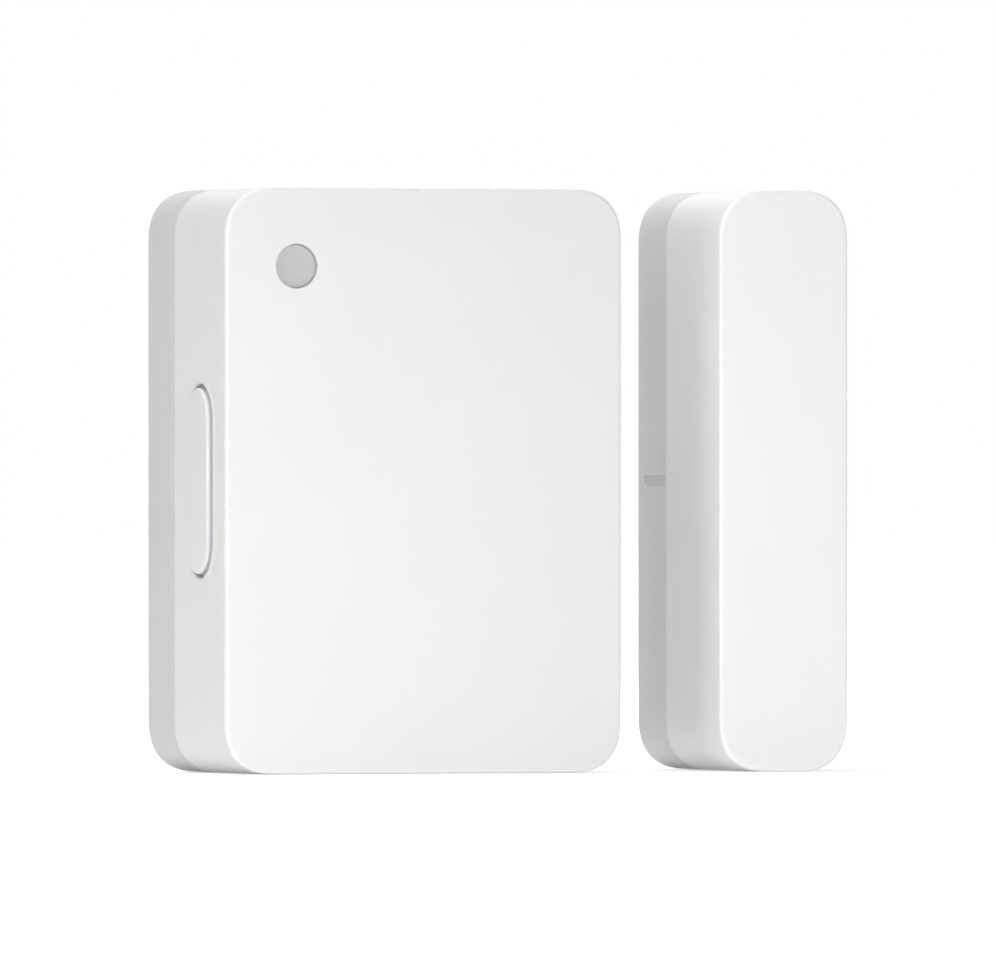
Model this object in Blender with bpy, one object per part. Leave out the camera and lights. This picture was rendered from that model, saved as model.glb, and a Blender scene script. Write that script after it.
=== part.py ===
"""Two-piece surface-mounted door contact sensor.

The larger unit is the sensor: a rounded, snap-together white case with a round
indicator window on its front, a pill-shaped push button on its left side, and a
circuit board, reed switch and coin cell inside.  The narrow unit beside it is the
magnet: the same case profile, with a bar magnet in a cradle.  Both units stick to
their surfaces with foam adhesive pads.

Frame: metres, +Z up.  The origin is the centre of the sensor's adhesive face.
The wall is the plane y = 0, the object faces -Y, and +X runs from the sensor to
the magnet.  All dimensions below are in millimetres.
"""

import math

import bmesh
import bpy
from mathutils import Matrix, Vector

MM = 0.001

# ---------------------------------------------------------------- case outline
CASE_H = 47.0            # height of both units
SENSOR_W = 34.0          # width of the sensor
MAGNET_W = 11.15         # width of the magnet unit
UNIT_GAP = 8.5           # gap between the two units with the door closed
CORNER_R = 4.3           # extent of the rounded corners of the outline
CORNER_POWER = 2.5       # superellipse exponent: corners that ease into the sides
CORNER_SEG = 8           # facets in each corner

# ------------------------------------------------------------- depth positions
FRONT_Y = -18.9          # front face
PART_Y = -6.8            # parting line between the front and rear covers
BACK_Y = -0.4            # back of the rear covers; the pads stand proud of it
FRONT_R = 0.31           # rounding of the front edge
BACK_R = 0.35            # rounding of the back edge
RIM_DEPTH = 0.75         # depth of the rear cover's shallow rim bevel
RIM_INSET = 0.12         # how far that bevel steps in
SEAM = 0.05              # gap at the parting line
WALL = 1.5               # wall of both covers
FLOOR_Y = -2.0           # inside floor of the rear covers
HOOK_Y = PART_Y - 1.7    # reach of the snap hooks into the front covers

# ------------------------------------------------------------------ adhesive
PAD_INSET = 2.5          # pad outline inside the case outline
POCKET_INSET = 2.3       # pocket outline inside the case outline
POCKET_Y = -0.9          # floor of the pocket
PAD_FRONT_Y = -0.87      # inner face of the pad

# -------------------------------------------------------------------- window
WINDOW_X, WINDOW_Z = -10.88, 17.22
WINDOW_R = 1.78          # hole in the front face
LENS_R = 1.66            # visible disc of the lens
LENS_Y = FRONT_Y + 0.45   # its front face, recessed in the hole
LENS_BACK_Y = FRONT_Y + WALL + 0.85
LENS_FLANGE_R = 2.6
SLEEVE_R, SLEEVE_BORE = 2.6, 1.75

# -------------------------------------------------------------------- button
BUTTON_Y = -12.72        # depth of the button's centre
BUTTON_HALF_H = 7.77     # half height of its hole
BUTTON_HALF_W = 2.98     # half width of its hole
BUTTON_GAP = 0.25        # gap all round
BUTTON_PROUD = 0.32      # how far it stands out of the side
BUTTON_TRAVEL = 0.30
FLANGE_EXTRA = 0.35      # retaining flange beyond the hole
STEM_TIP_X = -13.73       # end of the stem, at the switch's plunger

# --------------------------------------------------------------------- board
PCB_FRONT_Y = BUTTON_Y + 1.73   # the side switch's plunger is level with the button
PCB_BACK_Y = PCB_FRONT_Y + 1.0
PCB_X0, PCB_X1, PCB_HALF_Z = -14.2, 14.9, 21.4
SCREWS = ((11.8, 18.2), (-11.1, -18.2))   # x, z
BOSS_R, PILOT_R, SCREW_R, HEAD_R = 1.9, 0.66, 0.60, 1.5
REED_X, REED_Y = 12.9, PCB_FRONT_Y - 1.4
GLASS_R, GLASS_HALF = 1.1, 5.0

# ---------------------------------------------------------------------- cell
CELL_X, CELL_Z = 0.5, 0.0
CELL_R = 10.0
CELL_T = 3.2              # thickness of the cell
CELL_FRONT_Y = PCB_BACK_Y + 0.80
CELL_REAR_Y = CELL_FRONT_Y + CELL_T

# -------------------------------------------------------------------- magnet
MAGNET_X = SENSOR_W / 2 + UNIT_GAP + MAGNET_W / 2
BAR = (5.2, 4.0, 28.0)   # bar magnet, x by y by z
BAR_Y = FRONT_Y + 4.3     # its centre in depth
POST_Y = BAR_Y + 4.0      # end of the post behind the foam strip

# --------------------------------------------------------------------- notch
NOTCH_H = 0.86           # height of the pry slot
NOTCH_BACK_Y = -1.6      # its rounded rear end
NOTCH_DEPTH = 0.9        # how deep it cuts into the wall
NOTCH_FLARE = 0.35       # chamfer at its mouth


for old in list(bpy.data.objects):
    bpy.data.objects.remove(old, do_unlink=True)


# ======================================================================= tools
def material(name, color, roughness, metallic=0.0, alpha=1.0):
    mat = bpy.data.materials.new(name)
    mat.use_nodes = True
    bsdf = mat.node_tree.nodes["Principled BSDF"]
    bsdf.inputs["Base Color"].default_value = (*color, 1.0)
    bsdf.inputs["Roughness"].default_value = roughness
    bsdf.inputs["Metallic"].default_value = metallic
    bsdf.inputs["Alpha"].default_value = alpha
    return mat


MAT = {
    "shell_white": material("shell_white", (0.90, 0.90, 0.90), 0.42),
    "shell_rear": material("shell_rear", (0.78, 0.78, 0.80), 0.48),
    "button_white": material("button_white", (0.88, 0.88, 0.88), 0.40),
    "window_grey": material("window_grey", (0.56, 0.56, 0.58), 0.30),
    "sleeve_black": material("sleeve_black", (0.03, 0.03, 0.03), 0.80),
    "foam_tape": material("foam_tape", (0.86, 0.86, 0.84), 0.90),
    "pcb_green": material("pcb_green", (0.02, 0.22, 0.09), 0.35),
    "chip_black": material("chip_black", (0.02, 0.02, 0.022), 0.50),
    "led_clear": material("led_clear", (0.86, 0.86, 0.78), 0.20),
    "holder_black": material("holder_black", (0.035, 0.035, 0.04), 0.55),
    "plated_steel": material("plated_steel", (0.74, 0.74, 0.73), 0.25, 1.0),
    "spring_gold": material("spring_gold", (0.83, 0.62, 0.28), 0.25, 1.0),
    "reed_glass": material("reed_glass", (0.80, 0.92, 0.84), 0.05, 0.0, 0.4),
    "ceramic_tan": material("ceramic_tan", (0.55, 0.42, 0.28), 0.45),
    "antenna_white": material("antenna_white", (0.85, 0.85, 0.82), 0.40),
    "tantalum_yellow": material("tantalum_yellow", (0.78, 0.55, 0.10), 0.50),
    "gasket_blue": material("gasket_blue", (0.10, 0.16, 0.30), 0.60),
    "cradle_white": material("cradle_white", (0.82, 0.82, 0.81), 0.55),
    "magnet_nickel": material("magnet_nickel", (0.66, 0.65, 0.63), 0.30, 1.0),
    "foam_grey": material("foam_grey", (0.16, 0.16, 0.17), 0.95),
}

BODY_EMPTIES = {}


def body_empty(name, x, y, z, parent=None):
    """An empty that carries the pieces of one moving body."""
    empty = bpy.data.objects.new(name, None)
    empty.empty_display_size = 0.004
    bpy.context.scene.collection.objects.link(empty)
    world = Vector((x, y, z)) * MM
    if parent:
        empty.parent = BODY_EMPTIES[parent][0]
        empty.location = world - BODY_EMPTIES[parent][1]
    else:
        empty.location = world
    BODY_EMPTIES[name] = (empty, world)


def close(bm):
    bmesh.ops.remove_doubles(bm, verts=bm.verts, dist=1e-4)
    bmesh.ops.recalc_face_normals(bm, faces=bm.faces)


def solid(name, bm, origin=(0.0, 0.0, 0.0)):
    """Turn a bmesh in millimetres into an object in metres, origin at `origin`."""
    close(bm)
    bmesh.ops.translate(bm, verts=bm.verts, vec=-Vector(origin))
    bmesh.ops.scale(bm, verts=bm.verts, vec=(MM, MM, MM))
    mesh = bpy.data.meshes.new(name)
    bm.to_mesh(mesh)
    bm.free()
    obj = bpy.data.objects.new(name, mesh)
    obj.location = Vector(origin) * MM
    bpy.context.scene.collection.objects.link(obj)
    return obj


def boolean(target, tool, operation):
    """Apply an exact boolean and drop the tool."""
    mod = target.modifiers.new("shape", "BOOLEAN")
    mod.operation = operation
    mod.solver = "EXACT"
    mod.object = tool
    bpy.context.view_layer.update()
    graph = bpy.context.evaluated_depsgraph_get()
    mesh = bpy.data.meshes.new_from_object(target.evaluated_get(graph))
    target.modifiers.remove(mod)
    old_mesh = target.data
    target.data = mesh
    bpy.data.meshes.remove(old_mesh)
    tool_mesh = tool.data
    bpy.data.objects.remove(tool)
    bpy.data.meshes.remove(tool_mesh)


def cut(target, bm):
    boolean(target, solid("cutter", bm), "DIFFERENCE")


def fuse(target, bm):
    boolean(target, solid("addition", bm), "UNION")


def finish(obj, slot, body, smooth_angle=30.0):
    """Tidy, shade, paint and attach a finished piece."""
    bm = bmesh.new()
    bm.from_mesh(obj.data)
    bmesh.ops.remove_doubles(bm, verts=bm.verts, dist=1e-7)
    bmesh.ops.dissolve_limit(
        bm, angle_limit=math.radians(0.2), verts=bm.verts, edges=bm.edges
    )
    bmesh.ops.recalc_face_normals(bm, faces=bm.faces)
    bm.to_mesh(obj.data)
    bm.free()
    obj.data.materials.clear()
    obj.data.materials.append(MAT[slot])
    obj.data.shade_smooth()
    obj.data.set_sharp_from_angle(angle=math.radians(smooth_angle))
    if body:
        empty, world = BODY_EMPTIES[body]
        obj.parent = empty
        obj.location = obj.location - world
    return obj


# ---------------------------------------------------------------- 2D outlines
def superellipse_outline(width, height, radius, power=CORNER_POWER, seg=CORNER_SEG):
    """Rounded rectangle as (x, z) points, anticlockwise, centred on the origin."""
    points = []
    hw, hh = width / 2 - radius, height / 2 - radius
    corners = ((hw, hh, 0), (-hw, hh, 1), (-hw, -hh, 2), (hw, -hh, 3))
    for cx, cz, quadrant in corners:
        for i in range(seg + 1):
            t = math.pi / 2 * i / seg
            a = radius * max(math.cos(t), 0.0) ** (2 / power)
            b = radius * max(math.sin(t), 0.0) ** (2 / power)
            if quadrant == 0:
                points.append((cx + a, cz + b))
            elif quadrant == 1:
                points.append((cx - b, cz + a))
            elif quadrant == 2:
                points.append((cx - a, cz - b))
            else:
                points.append((cx + b, cz - a))
    return points


def circle_outline(radius, seg=24):
    return [
        (radius * math.cos(2 * math.pi * i / seg), radius * math.sin(2 * math.pi * i / seg))
        for i in range(seg)
    ]


def pill_outline(half_u, half_v, seg=8):
    """Stadium, long side along v: half-width half_u, half-height half_v."""
    points = []
    straight = half_v - half_u
    for i in range(seg + 1):
        t = math.pi * i / seg
        points.append((half_u * math.cos(t), straight + half_u * math.sin(t)))
    for i in range(seg + 1):
        t = math.pi + math.pi * i / seg
        points.append((half_u * math.cos(t), -straight + half_u * math.sin(t)))
    return points


# ------------------------------------------------------------------ 3D bodies
def loft(rings):
    """Closed solid through rings of equal length, capped at both ends."""
    bm = bmesh.new()
    rows = [[bm.verts.new(p) for p in ring] for ring in rings]
    count = len(rows[0])
    for a, b in zip(rows, rows[1:]):
        for i in range(count):
            j = (i + 1) % count
            bm.faces.new((a[i], a[j], b[j], b[i]))
    bm.faces.new(rows[0])
    bm.faces.new(rows[-1])
    return bm


def y_ring(points, x, z, y):
    return [(x + u, y, z + v) for u, v in points]


def x_ring(points, x, y, z):
    """A ring in the plane x = const; the outline's u runs along Y."""
    return [(x, y + u, z + v) for u, v in points]


def block(x0, x1, y0, y1, z0, z1):
    ring = ((x0, z0), (x1, z0), (x1, z1), (x0, z1))
    return loft([[(x, y0, z) for x, z in ring], [(x, y1, z) for x, z in ring]])


def drum(x, z, y0, y1, radius, seg=24):
    c = circle_outline(radius, seg)
    return loft([y_ring(c, x, z, y0), y_ring(c, x, z, y1)])


def turned(profile, x, z, seg=24):
    """Solid turned about the line (x, *, z); profile holds (radius, y) points.

    The first and last points may have radius 0 (closed ends); otherwise the
    profile is closed on itself, which makes a ring.
    """
    bm = bmesh.new()
    closed_ends = profile[0][0] == 0 and profile[-1][0] == 0
    rows = []
    for radius, y in profile:
        if radius == 0:
            rows.append([bm.verts.new((x, y, z))])
        else:
            rows.append([bm.verts.new(p) for p in y_ring(circle_outline(radius, seg), x, z, y)])
    pairs = list(zip(rows, rows[1:]))
    if not closed_ends:
        pairs.append((rows[-1], rows[0]))
    for a, b in pairs:
        if len(a) == 1 and len(b) == 1:
            continue
        for i in range(seg):
            j = (i + 1) % seg
            if len(a) == 1:
                bm.faces.new((a[0], b[j], b[i]))
            elif len(b) == 1:
                bm.faces.new((a[i], a[j], b[0]))
            else:
                bm.faces.new((a[i], a[j], b[j], b[i]))
    return bm


def turn_to_z(bm, x, y, z):
    """Rotate a solid turned about the Y axis at the origin so that it lies along Z."""
    bmesh.ops.rotate(bm, verts=bm.verts, cent=(0, 0, 0), matrix=Matrix.Rotation(math.pi / 2, 3, "X"))
    bmesh.ops.translate(bm, verts=bm.verts, vec=(x, y, z))
    return bm


def strip(path, thickness, width, place):
    """Bent sheet-metal strip: `path` is its centre line in 2D, `place` maps
    (u, v, w) to x, y, z, where w runs across the strip's width."""
    pts = [Vector(p) for p in path]
    left, right = [], []
    for i, p in enumerate(pts):
        before = (p - pts[i - 1]).normalized() if i > 0 else None
        after = (pts[i + 1] - p).normalized() if i < len(pts) - 1 else None
        if before is None:
            direction, stretch = after, 1.0
        elif after is None:
            direction, stretch = before, 1.0
        else:
            direction = (before + after).normalized()
            stretch = 1.0 / max(direction.dot(before), 0.4)
        normal = Vector((-direction.y, direction.x)) * thickness / 2 * stretch
        left.append(p + normal)
        right.append(p - normal)
    outline = left + right[::-1]
    return loft(
        [[place(p.x, p.y, -width / 2) for p in outline], [place(p.x, p.y, width / 2) for p in outline]]
    )


# =================================================================== the cases
def front_cover(name, centre_x, width, body):
    """Deep front cover: rounded front edge, flat face, thin walls, open rear."""
    def ring(inset, y):
        r = max(CORNER_R - inset, 1.2)
        return y_ring(superellipse_outline(width - 2 * inset, CASE_H - 2 * inset, r), centre_x, 0, y)

    rings = []
    for i in range(4):
        t = math.pi / 2 * i / 3
        rings.append(ring(FRONT_R * (1 - math.sin(t)), FRONT_Y + FRONT_R * (1 - math.cos(t))))
    rings.append(ring(0.0, PART_Y - 0.12))
    rings.append(ring(0.12, PART_Y))
    rings.append(ring(WALL, PART_Y))
    rings.append(ring(WALL, FRONT_Y + WALL))
    return solid(name, loft(rings), (centre_x, FRONT_Y, 0))


def rear_cover(name, centre_x, width, notch_side):
    """Shallow rear cover: adhesive pocket behind, open tray in front, pry slot."""
    def ring(inset, y):
        r = max(CORNER_R - inset, 1.2)
        return y_ring(superellipse_outline(width - 2 * inset, CASE_H - 2 * inset, r), centre_x, 0, y)

    rim_y = PART_Y + SEAM
    rings = [ring(POCKET_INSET, POCKET_Y), ring(POCKET_INSET, BACK_Y), ring(BACK_R, BACK_Y)]
    for i in range(1, 4):
        t = math.pi / 2 * i / 3
        rings.append(ring(BACK_R * (1 - math.sin(t)), BACK_Y - BACK_R * (1 - math.cos(t))))
    rings.append(ring(0.0, rim_y + RIM_DEPTH))
    rings.append(ring(RIM_INSET, rim_y))
    rings.append(ring(WALL, rim_y))
    rings.append(ring(WALL, FLOOR_Y))
    obj = solid(name, loft(rings), (centre_x, BACK_Y, 0))

    # Pry slot: runs from a rounded rear end to the rim, with a flared mouth.
    face_x = centre_x + notch_side * width / 2
    inner_x = face_x - notch_side * NOTCH_DEPTH
    outer_x = face_x + notch_side * 1.0
    half = NOTCH_H / 2
    slot = []
    for i in range(5):
        t = math.pi / 2 * i / 4
        slot.append((NOTCH_BACK_Y - half * (1 - math.cos(t)), -half * math.sin(t)))
    slot += [
        (rim_y + RIM_DEPTH, -half), (rim_y - 0.5, -half - NOTCH_FLARE * 1.6),
        (rim_y - 0.5, half + NOTCH_FLARE * 1.6), (rim_y + RIM_DEPTH, half),
    ]
    for i in range(4, 0, -1):
        t = math.pi / 2 * i / 4
        slot.append((NOTCH_BACK_Y - half * (1 - math.cos(t)), half * math.sin(t)))
    cut(obj, loft([[(inner_x, y, z) for y, z in slot], [(outer_x, y, z) for y, z in slot]]))
    return obj


def snap_hook(obj, centre_x, width, side, along, half_len, reach_y):
    """A flexible hook standing on the rear cover's floor, just inside the wall."""
    gap, thick, nose = 0.14, 0.9, 0.10
    back_y = FLOOR_Y + 0.3
    if side in ("left", "right"):
        s = -1 if side == "left" else 1
        outer = centre_x + s * (width / 2 - WALL - gap)
        profile = [
            (outer, back_y), (outer, reach_y + 0.9), (outer + s * nose, reach_y + 0.55),
            (outer + s * nose, reach_y + 0.35), (outer - s * 0.35, reach_y),
            (outer - s * thick, reach_y), (outer - s * thick, back_y),
        ]
        fuse(obj, loft([[(x, y, along - half_len) for x, y in profile],
                        [(x, y, along + half_len) for x, y in profile]]))
    else:
        s = -1 if side == "bottom" else 1
        outer = s * (CASE_H / 2 - WALL - gap)
        profile = [
            (back_y, outer), (reach_y + 0.9, outer), (reach_y + 0.55, outer + s * nose),
            (reach_y + 0.35, outer + s * nose), (reach_y, outer - s * 0.35),
            (reach_y, outer - s * thick), (back_y, outer - s * thick),
        ]
        fuse(obj, loft([[(centre_x + along - half_len, y, z) for y, z in profile],
                        [(centre_x + along + half_len, y, z) for y, z in profile]]))


def adhesive_pad(name, centre_x, width):
    """Die-cut foam pad, slightly proud of the rear cover."""
    w, h, r = width - 2 * PAD_INSET, CASE_H - 2 * PAD_INSET, CORNER_R - PAD_INSET + 0.4
    o = superellipse_outline(w, h, r)
    return solid(name, loft([y_ring(o, centre_x, 0, 0.0), y_ring(o, centre_x, 0, PAD_FRONT_Y)]),
                 (centre_x, 0, 0))


# ============================================================ bodies (empties)
body_empty("sensor_base_frame", 0, 0, 0)
body_empty("sensor_unit_slide", 0, PART_Y, 0, "sensor_base_frame")
body_empty("side_button_slide", -SENSOR_W / 2, BUTTON_Y, 0, "sensor_unit_slide")
body_empty("switch_plunger_slide", STEM_TIP_X, BUTTON_Y, 0, "sensor_unit_slide")
body_empty("coin_cell_slide", CELL_X, CELL_REAR_Y, CELL_Z, "sensor_unit_slide")
body_empty("magnet_base_slide", MAGNET_X, 0, 0, "sensor_base_frame")
body_empty("magnet_unit_slide", MAGNET_X, PART_Y, 0, "magnet_base_slide")

# ============================================================= sensor: the base
finish(adhesive_pad("sensor_adhesive_pad", 0, SENSOR_W), "foam_tape", "sensor_base_frame")

rear = rear_cover("sensor_rear_cover", 0, SENSOR_W, +1)
for rib_z in (-4.5, 4.5):
    # ribs that keep the coin cell down in its holder
    fuse(rear, block(-7.0, 8.0, FLOOR_Y + 0.3, CELL_REAR_Y + 0.15, rib_z - 0.6, rib_z + 0.6))
for rib_x in (-12.2, 12.2):
    fuse(rear, block(rib_x - 0.5, rib_x + 0.5, FLOOR_Y + 0.3, -3.6, -17.0, 17.0))
for side, along in (("left", 14.0), ("left", -14.0), ("right", 14.0), ("right", -14.0)):
    snap_hook(rear, 0, SENSOR_W, side, along, 2.4, HOOK_Y)
for side in ("top", "bottom"):
    snap_hook(rear, 0, SENSOR_W, side, 0.0, 3.2, HOOK_Y)
finish(rear, "shell_rear", "sensor_base_frame")

# ====================================================== sensor: the front cover
front = front_cover("sensor_front_cover", 0, SENSOR_W, "sensor_unit_slide")
# indicator window
cut(front, drum(WINDOW_X, WINDOW_Z, FRONT_Y - 1, FRONT_Y + WALL + 1, WINDOW_R, 32))
# button hole through the left wall
pill = pill_outline(BUTTON_HALF_W, BUTTON_HALF_H, 12)
cut(front, loft([x_ring(pill, -SENSOR_W / 2 - 1, BUTTON_Y, 0), x_ring(pill, -SENSOR_W / 2 + WALL + 1, BUTTON_Y, 0)]))
# screw bosses that carry the board
for bx, bz in SCREWS:
    fuse(front, drum(bx, bz, FRONT_Y + WALL - 0.4, PCB_FRONT_Y - 0.05, BOSS_R, 16))
    cut(front, drum(bx, bz, PCB_FRONT_Y - 4.9, PCB_FRONT_Y + 0.5, PILOT_R, 12))
# board rests at the two other corners
for bx, bz in ((-11.1, 12.4), (11.8, -18.2)):
    fuse(front, block(bx - 0.6, bx + 0.6, FRONT_Y + WALL - 0.4, PCB_FRONT_Y - 0.05, bz - 1.6, bz + 1.6))
finish(front, "shell_white", "sensor_unit_slide")

# ---------------------------------------------------------------- window lens
lens = turned(
    [(0, LENS_Y), (LENS_R - 0.12, LENS_Y), (LENS_R, LENS_Y + 0.12), (LENS_R, FRONT_Y + WALL + 0.05),
     (LENS_FLANGE_R, FRONT_Y + WALL + 0.05), (LENS_FLANGE_R, LENS_BACK_Y), (0, LENS_BACK_Y)],
    WINDOW_X, WINDOW_Z, 28)
finish(solid("window_lens", lens, (WINDOW_X, LENS_Y, WINDOW_Z)), "window_grey", "sensor_unit_slide")

sleeve = turned(
    [(SLEEVE_BORE, LENS_BACK_Y + 0.05), (SLEEVE_R, LENS_BACK_Y + 0.05),
     (SLEEVE_R, PCB_FRONT_Y - 0.05), (SLEEVE_BORE, PCB_FRONT_Y - 0.05)],
    WINDOW_X, WINDOW_Z, 20)
finish(solid("light_sleeve", sleeve, (WINDOW_X, PCB_FRONT_Y - 0.05, WINDOW_Z)), "sleeve_black", "sensor_unit_slide")

# --------------------------------------------------------------- side button
hu, hv = BUTTON_HALF_W - BUTTON_GAP, BUTTON_HALF_H - BUTTON_GAP
face_x = -SENSOR_W / 2 - BUTTON_PROUD
wall_in_x = -SENSOR_W / 2 + WALL
flange_u, flange_v = BUTTON_HALF_W + FLANGE_EXTRA, BUTTON_HALF_H + FLANGE_EXTRA
rings = [
    x_ring(pill_outline(hu - 0.30, hv - 0.30, 10), face_x, BUTTON_Y, 0),
    x_ring(pill_outline(hu - 0.09, hv - 0.09, 10), face_x + 0.09, BUTTON_Y, 0),
    x_ring(pill_outline(hu, hv, 10), face_x + 0.30, BUTTON_Y, 0),
    x_ring(pill_outline(hu, hv, 10), wall_in_x + 0.04, BUTTON_Y, 0),
    x_ring(pill_outline(flange_u, flange_v, 10), wall_in_x + 0.04, BUTTON_Y, 0),
    x_ring(pill_outline(flange_u, flange_v, 10), wall_in_x + 0.55, BUTTON_Y, 0),
]
button = solid("side_button", loft(rings), (-SENSOR_W / 2, BUTTON_Y, 0))
stem_ring = circle_outline(1.1, 16)
fuse(button, loft([x_ring(stem_ring, wall_in_x + 0.3, BUTTON_Y, 0), x_ring(stem_ring, STEM_TIP_X, BUTTON_Y, 0)]))
finish(button, "button_white", "side_button_slide")

# ----------------------------------------------------------------- the board
pcb_w = PCB_X1 - PCB_X0
pcb_cx = (PCB_X0 + PCB_X1) / 2
o = superellipse_outline(pcb_w, 2 * PCB_HALF_Z, 2.4, 2.0, 5)
pcb = solid("main_pcb", loft([y_ring(o, pcb_cx, 0, PCB_FRONT_Y), y_ring(o, pcb_cx, 0, PCB_BACK_Y)]), (pcb_cx, PCB_FRONT_Y, 0))
for bx, bz in SCREWS:
    cut(pcb, drum(bx, bz, PCB_FRONT_Y - 1, PCB_BACK_Y + 1, 0.9, 16))
finish(pcb, "pcb_green", "sensor_unit_slide")

for number, (bx, bz) in enumerate(SCREWS, 1):
    top = PCB_BACK_Y + 0.05
    screw = turned(
        [(0, top - 5.1), (0.25, top - 5.1), (SCREW_R, top - 4.4), (SCREW_R, top), (HEAD_R, top),
         (HEAD_R, top + 0.45), (HEAD_R - 0.35, top + 0.85), (0, top + 0.85)], bx, bz, 16)
    obj = solid("pcb_screw_%d" % number, screw, (bx, top, bz))
    for angle in (0.0, math.pi / 2):
        # cross recess in the head
        bm = block(-0.85, 0.85, top + 0.40, top + 1.4, -0.16, 0.16)
        bmesh.ops.rotate(bm, verts=bm.verts, cent=(0, 0, 0), matrix=Matrix.Rotation(angle + 0.4 * number, 3, "Y"))
        bmesh.ops.translate(bm, verts=bm.verts, vec=(bx, 0, bz))
        cut(obj, bm)
    finish(obj, "plated_steel", "sensor_unit_slide")


def chip(name, slot, x, z, w, h, d, edge=0.1, back=False):
    """Surface-mounted part: w along X, h along Z, d off the board."""
    if back:
        base, s = PCB_BACK_Y + 0.02, 1
    else:
        base, s = PCB_FRONT_Y - 0.02, -1
    def rect(inset, y):
        a, b = w / 2 - inset, h / 2 - inset
        return [(x - a, y, z - b), (x + a, y, z - b), (x + a, y, z + b), (x - a, y, z + b)]
    bm = loft([rect(0, base), rect(0, base + s * (d - edge)), rect(edge, base + s * d)])
    return finish(solid(name, bm, (x, base, z)), slot, "sensor_unit_slide")


chip("status_led", "led_clear", WINDOW_X, WINDOW_Z + 0.75, 1.6, 0.8, 0.6)
chip("light_sensor", "led_clear", WINDOW_X, WINDOW_Z - 0.75, 1.7, 0.9, 0.6)
chip("wireless_soc", "chip_black", 2.0, 7.0, 6.0, 6.0, 0.85)
chip("crystal_oscillator", "plated_steel", 7.6, 7.6, 2.0, 1.6, 0.5)
chip("chip_antenna", "antenna_white", 2.0, 19.2, 7.0, 2.0, 1.2)
chip("tantalum_capacitor", "tantalum_yellow", -3.0, -10.5, 3.5, 2.8, 1.9, 0.2)
chip("ceramic_capacitor_1", "ceramic_tan", -3.2, 8.6, 1.6, 0.8, 0.8, 0.06)
chip("ceramic_capacitor_2", "ceramic_tan", -3.2, 5.6, 1.6, 0.8, 0.8, 0.06)
chip("antenna_inductor", "chip_black", 2.0, 14.4, 1.0, 1.8, 0.6, 0.06)
chip("pull_up_resistor", "chip_black", 7.4, -1.0, 0.8, 1.6, 0.45, 0.05)

# -------------------------------------------------------------- tact switch
SW_X0, SW_X1 = -12.9, -9.4
sw_base = PCB_FRONT_Y - 0.02
sw_top = sw_base - 3.5
switch = solid("tact_switch_body", block(SW_X0, SW_X1, sw_top + 0.22, sw_base, -2.9, 2.9), (SW_X0, BUTTON_Y, 0))
# bore for the plunger
bore = circle_outline(0.92, 16)
cut(switch, loft([x_ring(bore, SW_X0 - 1, BUTTON_Y, 0), x_ring(bore, SW_X0 + 1.6, BUTTON_Y, 0)]))
finish(switch, "chip_black", "sensor_unit_slide")

frame_outline = [
    (SW_X0 - 0.02, -3.12), (SW_X1 + 0.3, -3.12), (SW_X1 + 0.3, 3.12), (SW_X0 - 0.02, 3.12),
]
bracket = solid(
    "tact_switch_bracket",
    loft([[(x, sw_top, z) for x, z in frame_outline], [(x, sw_base, z) for x, z in frame_outline]]),
    (SW_X1, BUTTON_Y, 0))
cut(bracket, block(SW_X0 - 1, SW_X1 + 0.05, sw_top + 0.18, sw_base + 1, -2.94, 2.94))
finish(bracket, "plated_steel", "sensor_unit_slide")

plunger_profile = [(0, 0.0), (0.55, 0.0), (0.80, 0.12), (0.80, 1.55), (0, 1.55)]
bm = turned(plunger_profile, 0, 0, 16)
bmesh.ops.rotate(bm, verts=bm.verts, cent=(0, 0, 0), matrix=Matrix.Rotation(-math.pi / 2, 3, "Z"))
bmesh.ops.translate(bm, verts=bm.verts, vec=(STEM_TIP_X + 0.02, BUTTON_Y, 0))
finish(solid("switch_plunger", bm, (STEM_TIP_X + 0.02, BUTTON_Y, 0)), "button_white", "switch_plunger_slide")

# --------------------------------------------------------------- reed switch
glass_profile = [
    (0.42, -GLASS_HALF), (0.75, -GLASS_HALF), (GLASS_R, -GLASS_HALF + 0.5), (GLASS_R, GLASS_HALF - 0.5),
    (0.75, GLASS_HALF), (0.42, GLASS_HALF), (0.42, GLASS_HALF - 0.9), (0.78, GLASS_HALF - 1.2),
    (0.78, -GLASS_HALF + 1.2), (0.42, -GLASS_HALF + 0.9),
]
glass = turn_to_z(turned(glass_profile, 0, 0, 20), REED_X, REED_Y, 0)
finish(solid("reed_switch_glass", glass, (REED_X, REED_Y, 0)), "reed_glass", "sensor_unit_slide")

for name, s in (("reed_blade_upper", 1), ("reed_blade_lower", -1)):
    # flat contact inside the glass, round-cornered lead outside, foot on the board
    y_in = REED_Y + s * 0.16
    foot_y = PCB_FRONT_Y - 0.14
    path = [
        (y_in, -s * 0.9), (y_in, s * 6.0), (REED_Y + s * 0.16 * 0.5, s * 6.3),
        (foot_y - 0.25, s * 6.9), (foot_y, s * 7.3), (foot_y, s * 8.6),
    ]
    bm = strip(path, 0.20, 0.5, lambda u, v, w: (REED_X + w, u, v))
    finish(solid(name, bm, (REED_X, REED_Y, s * 5.0)), "plated_steel", "sensor_unit_slide")

# ------------------------------------------------------------ battery holder
holder_back = PCB_BACK_Y + 0.02
holder_top = CELL_REAR_Y - 0.8
holder = solid("battery_holder", turned(
    [(6.8, holder_back), (11.4, holder_back), (11.4, holder_top - 0.25), (11.15, holder_top),
     (10.35, holder_top), (10.15, holder_top - 0.25), (10.15, holder_back + 0.55), (6.8, holder_back + 0.55)],
    CELL_X, CELL_Z, 40), (CELL_X, holder_back, CELL_Z))
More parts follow.
